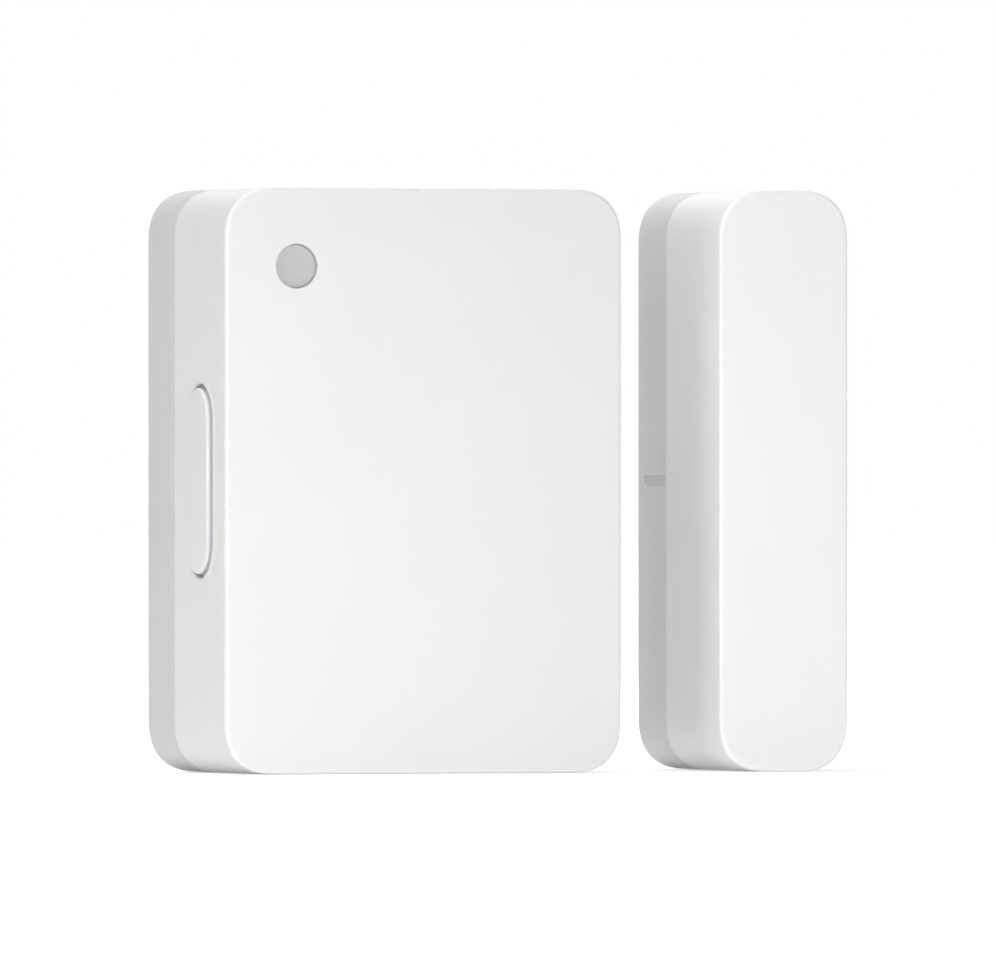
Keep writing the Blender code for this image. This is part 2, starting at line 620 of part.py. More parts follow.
# slot for the positive clip at the top, thumb slot at the bottom
cut(holder, block(CELL_X - 3.6, CELL_X + 3.6, holder_back - 1, CELL_REAR_Y, CELL_Z + 9.0, CELL_Z + 14.0))
cut(holder, block(CELL_X - 4.5, CELL_X + 4.5, holder_back + 1.0, CELL_REAR_Y, CELL_Z - 14.0, CELL_Z - 9.0))
finish(holder, "holder_black", "sensor_unit_slide")

clip_path = [
    (CELL_Z + 10.75, CELL_REAR_Y - 0.2), (CELL_Z + 10.42, CELL_REAR_Y - 0.65),
    (CELL_Z + 10.17, CELL_REAR_Y - 1.15), (CELL_Z + 10.17, CELL_FRONT_Y - 0.15),
    (CELL_Z + 10.6, holder_back + 0.14), (CELL_Z + 13.6, holder_back + 0.14),
]
bm = strip(clip_path, 0.24, 6.6, lambda u, v, w: (CELL_X + w, v, u))
finish(solid("battery_positive_clip", bm, (CELL_X, holder_back, CELL_Z + 11)), "plated_steel", "sensor_unit_slide")

spring_path = [
    (-6.0, holder_back + 0.13), (-4.0, holder_back + 0.13), (-2.2, CELL_FRONT_Y - 0.37),
    (0.0, CELL_FRONT_Y - 0.18), (2.2, CELL_FRONT_Y - 0.37), (3.2, CELL_FRONT_Y - 0.55),
]
bm = strip(spring_path, 0.22, 2.6, lambda u, v, w: (CELL_X + u, v, CELL_Z + w))
finish(solid("battery_negative_spring", bm, (CELL_X, holder_back, CELL_Z)), "spring_gold", "sensor_unit_slide")

# --------------------------------------------------------------- coin cell
can = turned(
    [(0, CELL_REAR_Y), (CELL_R - 0.35, CELL_REAR_Y), (CELL_R - 0.08, CELL_REAR_Y - 0.12),
     (CELL_R, CELL_REAR_Y - 0.40), (CELL_R, CELL_REAR_Y - 2.75), (CELL_R - 0.18, CELL_REAR_Y - 2.95),
     (9.05, CELL_REAR_Y - 3.0), (9.05, CELL_REAR_Y - 2.83), (9.62, CELL_REAR_Y - 2.75),
     (9.70, CELL_REAR_Y - 2.65), (9.70, CELL_REAR_Y - 0.30), (0, CELL_REAR_Y - 0.30)],
    CELL_X, CELL_Z, 40)
finish(solid("coin_cell_can", can, (CELL_X, CELL_REAR_Y, CELL_Z)), "plated_steel", "coin_cell_slide")

gasket = turned(
    [(8.65, CELL_REAR_Y - 3.07), (8.98, CELL_REAR_Y - 3.07), (8.98, CELL_REAR_Y - 2.79),
     (9.60, CELL_REAR_Y - 2.71), (9.60, CELL_REAR_Y - 0.36), (9.20, CELL_REAR_Y - 0.36),
     (9.20, CELL_REAR_Y - 2.40), (8.65, CELL_REAR_Y - 2.60)],
    CELL_X, CELL_Z, 40)
finish(solid("coin_cell_gasket", gasket, (CELL_X, CELL_REAR_Y - 2.9, CELL_Z)), "gasket_blue", "coin_cell_slide")

cap = turned(
    [(0, CELL_FRONT_Y), (8.1, CELL_FRONT_Y), (8.45, CELL_REAR_Y - 3.05), (8.58, CELL_REAR_Y - 2.80),
     (8.58, CELL_REAR_Y - 2.50), (9.10, CELL_REAR_Y - 2.30), (9.10, CELL_REAR_Y - 0.40),
     (0, CELL_REAR_Y - 0.40)],
    CELL_X, CELL_Z, 40)
finish(solid("coin_cell_cap", cap, (CELL_X, CELL_FRONT_Y, CELL_Z)), "plated_steel", "coin_cell_slide")

# ============================================================ the magnet unit
finish(adhesive_pad("magnet_adhesive_pad", MAGNET_X, MAGNET_W), "foam_tape", "magnet_base_slide")

m_rear = rear_cover("magnet_rear_cover", MAGNET_X, MAGNET_W, -1)
# post that presses the foam strip against the magnet
fuse(m_rear, block(MAGNET_X - 1.5, MAGNET_X + 1.5, FLOOR_Y + 0.3, POST_Y, -11.0, 11.0))
for side, along in (("left", 16.0), ("left", -16.0), ("right", 16.0), ("right", -16.0)):
    snap_hook(m_rear, MAGNET_X, MAGNET_W, side, along, 1.6, HOOK_Y)
finish(m_rear, "shell_rear", "magnet_base_slide")

m_front = front_cover("magnet_front_cover", MAGNET_X, MAGNET_W, "magnet_unit_slide")
finish(m_front, "shell_white", "magnet_unit_slide")

cav_hw = MAGNET_W / 2 - WALL - 0.08
cradle = solid("magnet_cradle", block(
    MAGNET_X - cav_hw, MAGNET_X + cav_hw, FRONT_Y + WALL + 0.05, BAR_Y + 1.4, -BAR[2] / 2 - 1.6, BAR[2] / 2 + 1.6),
    (MAGNET_X, FRONT_Y + WALL, 0))
cut(cradle, block(
    MAGNET_X - BAR[0] / 2 - 0.06, MAGNET_X + BAR[0] / 2 + 0.06, BAR_Y - BAR[1] / 2 - 0.06, BAR_Y + 5,
    -BAR[2] / 2 - 0.06, BAR[2] / 2 + 0.06))
finish(cradle, "cradle_white", "magnet_unit_slide")


def bevelled_bar(x, y, z, w, d, h, edge):
    bm = bmesh.new()
    bmesh.ops.create_cube(bm, size=1.0)
    bmesh.ops.scale(bm, verts=bm.verts, vec=(w, d, h))
    bmesh.ops.bevel(bm, geom=bm.edges[:], offset=edge, segments=1, profile=0.5, affect="EDGES")
    bmesh.ops.translate(bm, verts=bm.verts, vec=(x, y, z))
    return bm


bar = bevelled_bar(MAGNET_X, BAR_Y, 0, BAR[0], BAR[1], BAR[2], 0.35)
finish(solid("bar_magnet", bar, (MAGNET_X, BAR_Y, 0)), "magnet_nickel", "magnet_unit_slide")

foam_front = BAR_Y + BAR[1] / 2 + 0.03
foam_back = POST_Y - 0.05
foam = bevelled_bar(MAGNET_X, (foam_front + foam_back) / 2, 0, 4.4, foam_back - foam_front, 24.0, 0.2)
finish(solid("magnet_foam_strip", foam, (MAGNET_X, foam_front, 0)), "foam_grey", "magnet_unit_slide")
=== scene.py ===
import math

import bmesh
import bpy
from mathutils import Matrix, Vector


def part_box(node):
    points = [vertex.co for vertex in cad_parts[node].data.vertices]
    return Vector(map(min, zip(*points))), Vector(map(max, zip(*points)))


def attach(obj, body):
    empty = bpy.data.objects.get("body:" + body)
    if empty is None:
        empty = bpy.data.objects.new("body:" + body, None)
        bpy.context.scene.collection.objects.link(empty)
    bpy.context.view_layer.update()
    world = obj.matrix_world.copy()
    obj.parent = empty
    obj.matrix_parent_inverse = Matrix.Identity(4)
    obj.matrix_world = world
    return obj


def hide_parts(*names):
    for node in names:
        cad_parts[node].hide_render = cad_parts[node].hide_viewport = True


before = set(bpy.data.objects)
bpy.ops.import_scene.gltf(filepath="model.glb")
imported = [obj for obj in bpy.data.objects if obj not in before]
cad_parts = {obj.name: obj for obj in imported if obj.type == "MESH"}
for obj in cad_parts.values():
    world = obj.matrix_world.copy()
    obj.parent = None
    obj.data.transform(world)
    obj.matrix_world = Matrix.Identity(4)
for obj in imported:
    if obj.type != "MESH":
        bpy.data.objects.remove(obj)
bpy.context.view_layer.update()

# Looks of the two-piece door contact sensor.  Everything is in the frame's own
# metres; the helpers below take millimetres.  Moulded covers, the button, the
# window and the pads are rebuilt at full fineness over their CAD solids; the
# electronics get their own fine pieces and materials.

MM = 0.001


def box_mm(node):
    lo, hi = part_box(node)
    return Vector(lo) * 1000, Vector(hi) * 1000


# ------------------------------------------------------------------ dimensions
S_LO, S_HI = box_mm("sensor_front_cover")
M_LO, M_HI = box_mm("magnet_front_cover")
CASE_H = S_HI.z - S_LO.z
SENSOR_W = S_HI.x - S_LO.x
MAGNET_W = M_HI.x - M_LO.x
SENSOR_X = (S_HI.x + S_LO.x) / 2
MAGNET_X = (M_HI.x + M_LO.x) / 2
FRONT_Y = S_LO.y
PART_Y = S_HI.y
BACK_Y = -0.4
CORNER_R = 4.3
CORNER_POWER = 2.5
FRONT_R = 0.29
BACK_R = 0.40
RIM_DEPTH = 0.75
RIM_INSET = 0.12
SEAM = 0.05
WALL = 1.5
FLOOR_Y = -2.0
HOOK_Y = PART_Y - 1.7
POCKET_INSET, POCKET_Y = 2.3, -0.9
PAD_INSET, PAD_FRONT_Y = 2.5, -0.87

L_LO, L_HI = box_mm("window_lens")
WINDOW_X, WINDOW_Z = (L_LO.x + L_HI.x) / 2, (L_LO.z + L_HI.z) / 2
WINDOW_R = 1.78
LENS_R = 1.75
LENS_Y = L_LO.y
LENS_BACK_Y = L_HI.y
LENS_FLANGE_R = (L_HI.x - L_LO.x) / 2

B_LO, B_HI = box_mm("side_button")
BUTTON_Y = (B_LO.y + B_HI.y) / 2
BUTTON_X = B_LO.x
BUTTON_TIP_X = B_HI.x
BUTTON_HALF_H, BUTTON_HALF_W = 7.77, 2.98
BUTTON_GAP = 0.25
FLANGE_EXTRA = 0.35

P_LO, P_HI = box_mm("main_pcb")
PCB_FRONT_Y, PCB_BACK_Y = P_LO.y, P_HI.y
SCREWS = []
for n in ("pcb_screw_1", "pcb_screw_2"):
    lo, hi = box_mm(n)
    SCREWS.append(((lo.x + hi.x) / 2, (lo.z + hi.z) / 2))

C_LO, C_HI = box_mm("coin_cell_can")
CELL_X, CELL_Z = (C_LO.x + C_HI.x) / 2, (C_LO.z + C_HI.z) / 2
CELL_R = (C_HI.x - C_LO.x) / 2
CELL_REAR_Y = C_HI.y
CELL_FRONT_Y = box_mm("coin_cell_cap")[0].y
FLOOR_Z = S_LO.z


# ======================================================================== mesh
def superellipse_outline(width, height, radius, power=CORNER_POWER, seg=24):
    points = []
    hw, hh = width / 2 - radius, height / 2 - radius
    corners = ((hw, hh, 0), (-hw, hh, 1), (-hw, -hh, 2), (hw, -hh, 3))
    for cx, cz, quadrant in corners:
        for i in range(seg + 1):
            # even spacing along the arc rather than in the parameter
            t = math.pi / 2 * i / seg
            ca, sa = max(math.cos(t), 0.0), max(math.sin(t), 0.0)
            k = (ca ** power + sa ** power) ** (-1.0 / power)
            a, b = radius * ca * k, radius * sa * k
            if quadrant == 0:
                points.append((cx + a, cz + b))
            elif quadrant == 1:
                points.append((cx - b, cz + a))
            elif quadrant == 2:
                points.append((cx - a, cz - b))
            else:
                points.append((cx + b, cz - a))
    return points


def circle_outline(radius, seg=64):
    return [
        (radius * math.cos(2 * math.pi * i / seg), radius * math.sin(2 * math.pi * i / seg))
        for i in range(seg)
    ]


def pill_outline(half_u, half_v, seg=28):
    points = []
    straight = half_v - half_u
    for i in range(seg + 1):
        t = math.pi * i / seg
        points.append((half_u * math.cos(t), straight + half_u * math.sin(t)))
    for i in range(seg + 1):
        t = math.pi + math.pi * i / seg
        points.append((half_u * math.cos(t), -straight + half_u * math.sin(t)))
    return points


def loft(rings, cap_start=True, cap_end=True, loop=False):
    bm = bmesh.new()
    rows = [[bm.verts.new(p) for p in ring] for ring in rings]
    count = len(rows[0])
    pairs = list(zip(rows, rows[1:]))
    if loop:
        pairs.append((rows[-1], rows[0]))
    for a, b in pairs:
        for i in range(count):
            j = (i + 1) % count
            bm.faces.new((a[i], a[j], b[j], b[i]))
    if not loop and cap_start:
        bm.faces.new(rows[0])
    if not loop and cap_end:
        bm.faces.new(rows[-1])
    return bm


def y_ring(points, x, z, y):
    return [(x + u, y, z + v) for u, v in points]


def x_ring(points, x, y, z):
    return [(x, y + u, z + v) for u, v in points]


def arc(n, start=0.0, end=math.pi / 2):
    return [start + (end - start) * i / n for i in range(n + 1)]


def turned(profile, x, z, seg=64):
    bm = bmesh.new()
    closed_ends = profile[0][0] == 0 and profile[-1][0] == 0
    rows = []
    for radius, y in profile:
        if radius == 0:
            rows.append([bm.verts.new((x, y, z))])
        else:
            rows.append([bm.verts.new(p) for p in y_ring(circle_outline(radius, seg), x, z, y)])
    pairs = list(zip(rows, rows[1:]))
    if not closed_ends:
        pairs.append((rows[-1], rows[0]))
    for a, b in pairs:
        if len(a) == 1 and len(b) == 1:
            continue
        for i in range(seg):
            j = (i + 1) % seg
            if len(a) == 1:
                bm.faces.new((a[0], b[j], b[i]))
            elif len(b) == 1:
                bm.faces.new((a[i], a[j], b[0]))
            else:
                bm.faces.new((a[i], a[j], b[j], b[i]))
    return bm


def block(x0, x1, y0, y1, z0, z1, bevel=0.0, segments=2):
    bm = bmesh.new()
    bmesh.ops.create_cube(bm, size=1.0)
    bmesh.ops.scale(bm, verts=bm.verts, vec=(x1 - x0, y1 - y0, z1 - z0))
    bmesh.ops.translate(bm, verts=bm.verts, vec=((x0 + x1) / 2, (y0 + y1) / 2, (z0 + z1) / 2))
    if bevel:
        bmesh.ops.bevel(bm, geom=bm.edges[:], offset=bevel, segments=segments, profile=0.5, affect="EDGES")
    return bm


def rounded_profile(corners, radius, n=4):
    """2D polygon with each corner rounded by `radius` (or its own radius)."""
    out = []
    count = len(corners)
    for i, c in enumerate(corners):
        r = c[2] if len(c) > 2 else radius
        p = Vector(c[:2])
        a = (Vector(corners[i - 1][:2]) - p)
        b = (Vector(corners[(i + 1) % count][:2]) - p)
        if r <= 0:
            out.append((p.x, p.y))
            continue
        a_len, b_len = a.length, b.length
        a.normalize()
        b.normalize()
        half = a.angle(b) / 2
        d = min(r / math.tan(half), a_len * 0.49, b_len * 0.49)
        s, e = p + a * d, p + b * d
        for k in range(n + 1):
            t = k / n
            q = s * (1 - t) ** 2 + p * 2 * t * (1 - t) + e * t ** 2
            out.append((q.x, q.y))
    return out


def solid(name, bm, merge=1e-4):
    bmesh.ops.remove_doubles(bm, verts=bm.verts, dist=merge)
    bmesh.ops.recalc_face_normals(bm, faces=bm.faces)
    bmesh.ops.scale(bm, verts=bm.verts, vec=(MM, MM, MM))
    mesh = bpy.data.meshes.new(name)
    bm.to_mesh(mesh)
    bm.free()
    obj = bpy.data.objects.new(name, mesh)
    bpy.context.scene.collection.objects.link(obj)
    return obj


def boolean(target, bm, operation):
    tool = solid("tool", bm)
    mod = target.modifiers.new("shape", "BOOLEAN")
    mod.operation = operation
    mod.solver = "EXACT"
    mod.object = tool
    bpy.context.view_layer.update()
    graph = bpy.context.evaluated_depsgraph_get()
    mesh = bpy.data.meshes.new_from_object(target.evaluated_get(graph))
    target.modifiers.remove(mod)
    old = target.data
    target.data = mesh
    bpy.data.meshes.remove(old)
    tool_mesh = tool.data
    bpy.data.objects.remove(tool)
    bpy.data.meshes.remove(tool_mesh)


def cut(target, bm):
    boolean(target, bm, "DIFFERENCE")


def fuse(target, bm):
    boolean(target, bm, "UNION")


def shade(obj, angle=35.0, weighted=True):
    bm = bmesh.new()
    bm.from_mesh(obj.data)
    bmesh.ops.remove_doubles(bm, verts=bm.verts, dist=2e-7)
    bmesh.ops.dissolve_degenerate(bm, edges=bm.edges, dist=1e-7)
    bmesh.ops.recalc_face_normals(bm, faces=bm.faces)
    bm.to_mesh(obj.data)
    bm.free()
    obj.data.shade_smooth()
    obj.data.set_sharp_from_angle(angle=math.radians(angle))
    if weighted:
        mod = obj.modifiers.new("normals", "WEIGHTED_NORMAL")
        mod.mode = "FACE_AREA"
        mod.weight = 100
        mod.keep_sharp = True


def place(obj, body, mat, replaces=()):
    obj.data.materials.clear()
    obj.data.materials.append(mat)
    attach(obj, body)
    if replaces:
        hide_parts(*replaces)
    return obj


# =================================================================== materials
class Nodes:
    """Small helper to write node trees compactly."""

    def __init__(self, name):
        self.mat = bpy.data.materials.new(name)
        self.mat.use_nodes = True
        self.tree = self.mat.node_tree
        self.bsdf = self.tree.nodes["Principled BSDF"]
        self.coord = self.tree.nodes.new("ShaderNodeTexCoord")
        self.pos = self.coord.outputs["Object"]

    def node(self, kind, **values):
        n = self.tree.nodes.new(kind)
        for key, value in values.items():
            setattr(n, key, value)
        return n

    def link(self, a, b):
        self.tree.links.new(a, b)

    def math(self, op, a, b=None, c=None, clamp=False):
        n = self.node("ShaderNodeMath", operation=op, use_clamp=clamp)
        for i, v in enumerate((a, b, c)):
            if v is None:
                continue
            if isinstance(v, (int, float)):
                n.inputs[i].default_value = v
            else:
                self.link(v, n.inputs[i])
        return n.outputs[0]

    def vmath(self, op, a, b=None):
        n = self.node("ShaderNodeVectorMath", operation=op)
        for i, v in enumerate((a, b)):
            if v is None:
                continue
            if isinstance(v, (tuple, list)):
                n.inputs[i].default_value = v
            else:
                self.link(v, n.inputs[i])
        return n.outputs[0]

    def noise(self, scale, detail=3.0, rough=0.55, vector=None, dims=None):
        n = self.node("ShaderNodeTexNoise")
        n.inputs["Scale"].default_value = scale
        n.inputs["Detail"].default_value = detail
        n.inputs["Roughness"].default_value = rough
        self.link(vector or self.pos, n.inputs["Vector"])
        return n.outputs["Fac"]

    def voronoi(self, scale, feature="F1", output="Distance", vector=None, randomness=1.0):
        n = self.node("ShaderNodeTexVoronoi", feature=feature)
        n.inputs["Scale"].default_value = scale
        n.inputs["Randomness"].default_value = randomness
        self.link(vector or self.pos, n.inputs["Vector"])
        return n.outputs[output]

    def ramp(self, fac, stops, interpolation="LINEAR"):
        n = self.node("ShaderNodeValToRGB")
        n.color_ramp.interpolation = interpolation
        el = n.color_ramp.elements
        while len(el) > 1:
            el.remove(el[-1])
        el[0].position = stops[0][0]
        el[0].color = _rgba(stops[0][1])
        for p, c in stops[1:]:
            e = el.new(p)
            e.color = _rgba(c)
        self.link(fac, n.inputs["Fac"])
        return n.outputs["Color"]

    def range(self, value, a0, a1, b0, b1, smooth=False):
        n = self.node("ShaderNodeMapRange", clamp=True)
        if smooth:
            n.interpolation_type = "SMOOTHSTEP"
        self.link(value, n.inputs["Value"])
        for key, v in (("From Min", a0), ("From Max", a1), ("To Min", b0), ("To Max", b1)):
            n.inputs[key].default_value = v
        return n.outputs["Result"]

    def mix(self, fac, a, b, blend="MIX"):
        n = self.node("ShaderNodeMix", data_type="RGBA", blend_type=blend)
        for key, v in ((0, fac), (6, a), (7, b)):
            if isinstance(v, (int, float)):
                n.inputs[key].default_value = v
            elif isinstance(v, tuple):
                n.inputs[key].default_value = _rgba(v)
            else:
                self.link(v, n.inputs[key])
        return n.outputs[2]

    def xyz(self, vector=None):
        n = self.node("ShaderNodeSeparateXYZ")
        self.link(vector or self.pos, n.inputs[0])
        return n.outputs[0], n.outputs[1], n.outputs[2]

    def mapping(self, scale=(1, 1, 1), location=(0, 0, 0), rotation=(0, 0, 0), vector=None):
        n = self.node("ShaderNodeMapping")
        n.inputs["Scale"].default_value = scale
        n.inputs["Location"].default_value = location
        n.inputs["Rotation"].default_value = rotation
        self.link(vector or self.pos, n.inputs["Vector"])
        return n.outputs[0]

    def bump(self, height, distance, strength=1.0, normal=None):
        n = self.node("ShaderNodeBump")
        n.inputs["Strength"].default_value = strength
        n.inputs["Distance"].default_value = distance
        self.link(height, n.inputs["Height"])
        if normal is not None:
            self.link(normal, n.inputs["Normal"])
        return n.outputs["Normal"]

    def color(self, value):
        self._set("Base Color", value)

    def rough(self, value):
        self._set("Roughness", value)

    def normal(self, value):
        self.link(value, self.bsdf.inputs["Normal"])

    def _set(self, key, value):
        socket = self.bsdf.inputs[key]
        if isinstance(value, (int, float)):
            socket.default_value = value
        elif isinstance(value, tuple):
            socket.default_value = _rgba(value)
        else:
            self.link(value, socket)

    def fixed(self, **values):
        names = {"metallic": "Metallic", "ior": "IOR", "spec": "Specular IOR Level", "coat": "Coat Weight",
                 "coat_rough": "Coat Roughness", "trans": "Transmission Weight", "sss": "Subsurface Weight",
                 "sss_scale": "Subsurface Scale", "sss_radius": "Subsurface Radius", "alpha": "Alpha",
                 "aniso": "Anisotropic", "sheen": "Sheen Weight", "sheen_rough": "Sheen Roughness"}
        for key, v in values.items():
            self.bsdf.inputs[names[key]].default_value = v


def _rgba(c):
    return tuple(c) if len(c) == 4 else (*c, 1.0)


def scaled(c, k):
    return tuple(min(v * k, 1.0) for v in c)


def case_edge_masks(m, centre_x, width):
    """(closeness to the front edge, closeness to the parting line, height 0..1).

    All come from the point's place in the case: a rounded-box distance across
    the outline, and the depth from the front face and from the parting line.
    """
    x, y, z = m.xyz()
    hw, hh, r = width / 2 * MM, CASE_H / 2 * MM, 3.9 * MM
    qx = m.math("SUBTRACT", m.math("ABSOLUTE", m.math("SUBTRACT", x, centre_x * MM)), hw - r)
    qz = m.math("SUBTRACT", m.math("ABSOLUTE", z), hh - r)
    px, pz = m.math("MAXIMUM", qx, 0.0), m.math("MAXIMUM", qz, 0.0)
    outside = m.math("SQRT", m.math("ADD", m.math("MULTIPLY", px, px), m.math("MULTIPLY", pz, pz)))
    inside = m.math("MINIMUM", m.math("MAXIMUM", qx, qz), 0.0)
    inset = m.math("SUBTRACT", r, m.math("ADD", outside, inside))
    depth = m.math("SUBTRACT", y, FRONT_Y * MM)
    front = m.math("MAXIMUM", inset, depth)
    seam = m.math("ABSOLUTE", m.math("SUBTRACT", y, (PART_Y + 0.02) * MM))
    return front, seam, inset, depth, z


def pill_distance(m, y, z):
    """Distance from the straight middle line of the button's pill."""
    dy = m.math("SUBTRACT", y, BUTTON_Y * MM)
    dz = m.math("MAXIMUM", m.math("SUBTRACT", m.math("ABSOLUTE", z), (BUTTON_HALF_H - BUTTON_HALF_W) * MM), 0.0)
    return m.math("SQRT", m.math("ADD", m.math("MULTIPLY", dy, dy), m.math("MULTIPLY", dz, dz)))


def hole_wall_painted_shade(m):
    """1 on the inner walls of the window's hole and of the button's hole, where painted shade darkens them."""
    x, y, z = m.xyz()
    dx = m.math("SUBTRACT", x, WINDOW_X * MM)
    dz = m.math("SUBTRACT", z, WINDOW_Z * MM)
    rad = m.math("SQRT", m.math("ADD", m.math("MULTIPLY", dx, dx), m.math("MULTIPLY", dz, dz)))
    window = m.math("MULTIPLY", m.range(rad, (WINDOW_R + 0.01) * MM, (WINDOW_R + 0.05) * MM, 1.0, 0.0, True),
                    m.range(y, (FRONT_Y + 0.06) * MM, (FRONT_Y + 0.14) * MM, 0.0, 1.0, True))
    pill = m.math("MULTIPLY", m.range(pill_distance(m, y, z), (BUTTON_HALF_W + 0.02) * MM, (BUTTON_HALF_W + 0.10) * MM, 1.0, 0.0, True),
                  m.range(x, (SENSOR_X + 1.0) * MM, SENSOR_X * MM, 0.0, 1.0, True))
    return m.math("MAXIMUM", window, pill)


def shell_material(name, base, centre_x, width, rough=(0.40, 0.50), grain=1.0, seam_dark=0.10, painted_light_at_holes=False):
    """Fine spark-textured moulded plastic with polished edges painted lighter as a highlight and a dusty seam; at the
    holes, painted shade and a painted highlight strip.
    """
    m = Nodes(name)
    front, seam, inset, depth, z = case_edge_masks(m, centre_x, width)
    # colour: cloudy resin variation, a faint warm-cool drift, specks of pigment
    cloud = m.noise(95, 4, 0.6)
    drift = m.noise(22, 2, 0.5)
    tone = m.mix(m.range(cloud, 0.3, 0.7, 0, 1), scaled(base, 0.985), scaled(base, 1.012))
    tone = m.mix(m.range(drift, 0.35, 0.65, 0, 0.5),
                 tone, (base[0] * 1.0, base[1] * 0.998, base[2] * 0.985))
    speck = m.voronoi(900, "F1")
    tone = m.mix(m.range(speck, 0.05, 0.11, 0.10, 0.0), tone, scaled(base, 0.72))
    # the parting line gathers a little dust, and the rounded edges are painted lighter, a painted highlight along them
    grime = m.math("MULTIPLY", m.range(seam, 0.00004, 0.00042, seam_dark, 0.0, True),
                   m.range(m.noise(520, 3), 0.35, 0.65, 0.55, 1.0))
    tone = m.mix(grime, tone, scaled(base, 0.52))
    rear_edge = m.math("MAXIMUM", inset, m.math("SUBTRACT", BACK_Y * MM, m.xyz()[1]))
    edge_wear_and_highlight = m.range(m.math("MINIMUM", front, rear_edge), 0.00022, 0.00036, 1.0, 0.0, True)
    rub = m.math("MULTIPLY", edge_wear_and_highlight, m.range(m.noise(260, 4, 0.65), 0.42, 0.62, 0.0, 1.0))
    # painted highlight: the band along the rounded edges is lightened by up to 7%
    tone = m.mix(m.math("MULTIPLY", edge_wear_and_highlight, m.range(m.noise(260, 4, 0.65), 0.35, 0.65, 0.45, 0.85)), tone, scaled(base, 1.07))
    if painted_light_at_holes:
        # painted shade: the holes' inner walls are tinted darker, standing in for the shade that falls in them
        tone = m.mix(m.math("MULTIPLY", hole_wall_painted_shade(m), m.range(m.noise(700, 3), 0.3, 0.7, 0.90, 1.0)), tone, (0.66, 0.66, 0.72))
        # painted highlight: a lighter strip on the case in front of the button stands in for light catching it there
        x, y, _ = m.xyz()
        reach = pill_distance(m, y, z)
        strip = m.math("MULTIPLY", m.range(reach, (BUTTON_HALF_W + 0.12) * MM, (BUTTON_HALF_W + 0.22) * MM, 0.0, 1.0, True),
                       m.range(reach, (BUTTON_HALF_W + 0.62) * MM, (BUTTON_HALF_W + 0.86) * MM, 1.0, 0.0, True))
        strip = m.math("MULTIPLY", strip, m.range(y, (BUTTON_Y - 2.6) * MM, (BUTTON_Y - 1.2) * MM, 1.0, 0.0, True))
        strip = m.math("MULTIPLY", strip, m.range(x, (SENSOR_X - SENSOR_W / 2 + 0.04) * MM, (SENSOR_X - SENSOR_W / 2 + 0.10) * MM, 1.0, 0.0, True))
        tone = m.mix(m.math("MULTIPLY", strip, m.range(m.noise(400, 3), 0.3, 0.7, 0.8, 1.0)), tone, scaled(base, 1.10))
    m.color(tone)
    # roughness: spark texture is polished on the edges that hands touch
    r = m.range(m.noise(1400, 2), 0.3, 0.7, rough[0], rough[1])
    r = m.math("ADD", r, m.range(m.noise(60, 3), 0.3, 0.7, -0.03, 0.03))
    r = m.math("SUBTRACT", r, m.math("MULTIPLY", edge_wear_and_highlight, m.range(m.noise(260, 4, 0.65), 0.35, 0.65, 0.19, 0.26)))
    # hair-fine handling scratches on the flat faces
    stretch = m.mapping((380, 380, 9000), rotation=(0.2, 0.5, 0.35))
    scratch = m.noise(1.0, 2, 0.4, stretch)
    hair = m.range(scratch, 0.70, 0.74, 0.0, 1.0)
    r = m.math("ADD", r, m.math("MULTIPLY", hair, 0.05), clamp=True)
    m.rough(r)
    # relief: spark-eroded grain over a very slight sink and flow waviness
    fine = m.noise(9500, 2, 0.6)
    pits = m.voronoi(5200, "SMOOTH_F1")
    grainy = m.math("ADD", m.math("MULTIPLY", fine, 0.65), m.math("MULTIPLY", pits, 0.35))
    keep = m.math("SUBTRACT", 1.0, m.math("MULTIPLY", rub, 0.5))
    grainy = m.math("MULTIPLY", grainy, keep)
    n1 = m.bump(m.noise(70, 2, 0.4), 0.00006, 0.25)
    n2 = m.bump(grainy, 0.000012 * grain, 0.55, n1)
    m.normal(n2)
    m.fixed(ior=1.49, spec=0.5, sss=0.0)
    return m.mat


WHITE = (0.800, 0.800, 0.798)
# painted light: the magnet's white is the sensor's white made about 14% brighter, standing in for more light on the
# magnet
MAGNET_WHITE_PAINTED_BRIGHTER = (0.915, 0.915, 0.913)
REAR = (0.642, 0.640, 0.651)
# painted light: the magnet's rear grey is the sensor's rear grey made about 14% brighter, standing in for more light
MAGNET_REAR_PAINTED_BRIGHTER = (0.735, 0.735, 0.760)

MAT_SENSOR_FRONT = shell_material("sensor_front_plastic", WHITE, SENSOR_X, SENSOR_W, painted_light_at_holes=True)
MAT_MAGNET_FRONT = shell_material("magnet_front_plastic", MAGNET_WHITE_PAINTED_BRIGHTER, MAGNET_X, MAGNET_W)
MAT_SENSOR_REAR = shell_material("sensor_rear_plastic", REAR, SENSOR_X, SENSOR_W, (0.46, 0.56), 1.3)
MAT_MAGNET_REAR = shell_material("magnet_rear_plastic", MAGNET_REAR_PAINTED_BRIGHTER, MAGNET_X, MAGNET_W, (0.46, 0.56), 1.3)


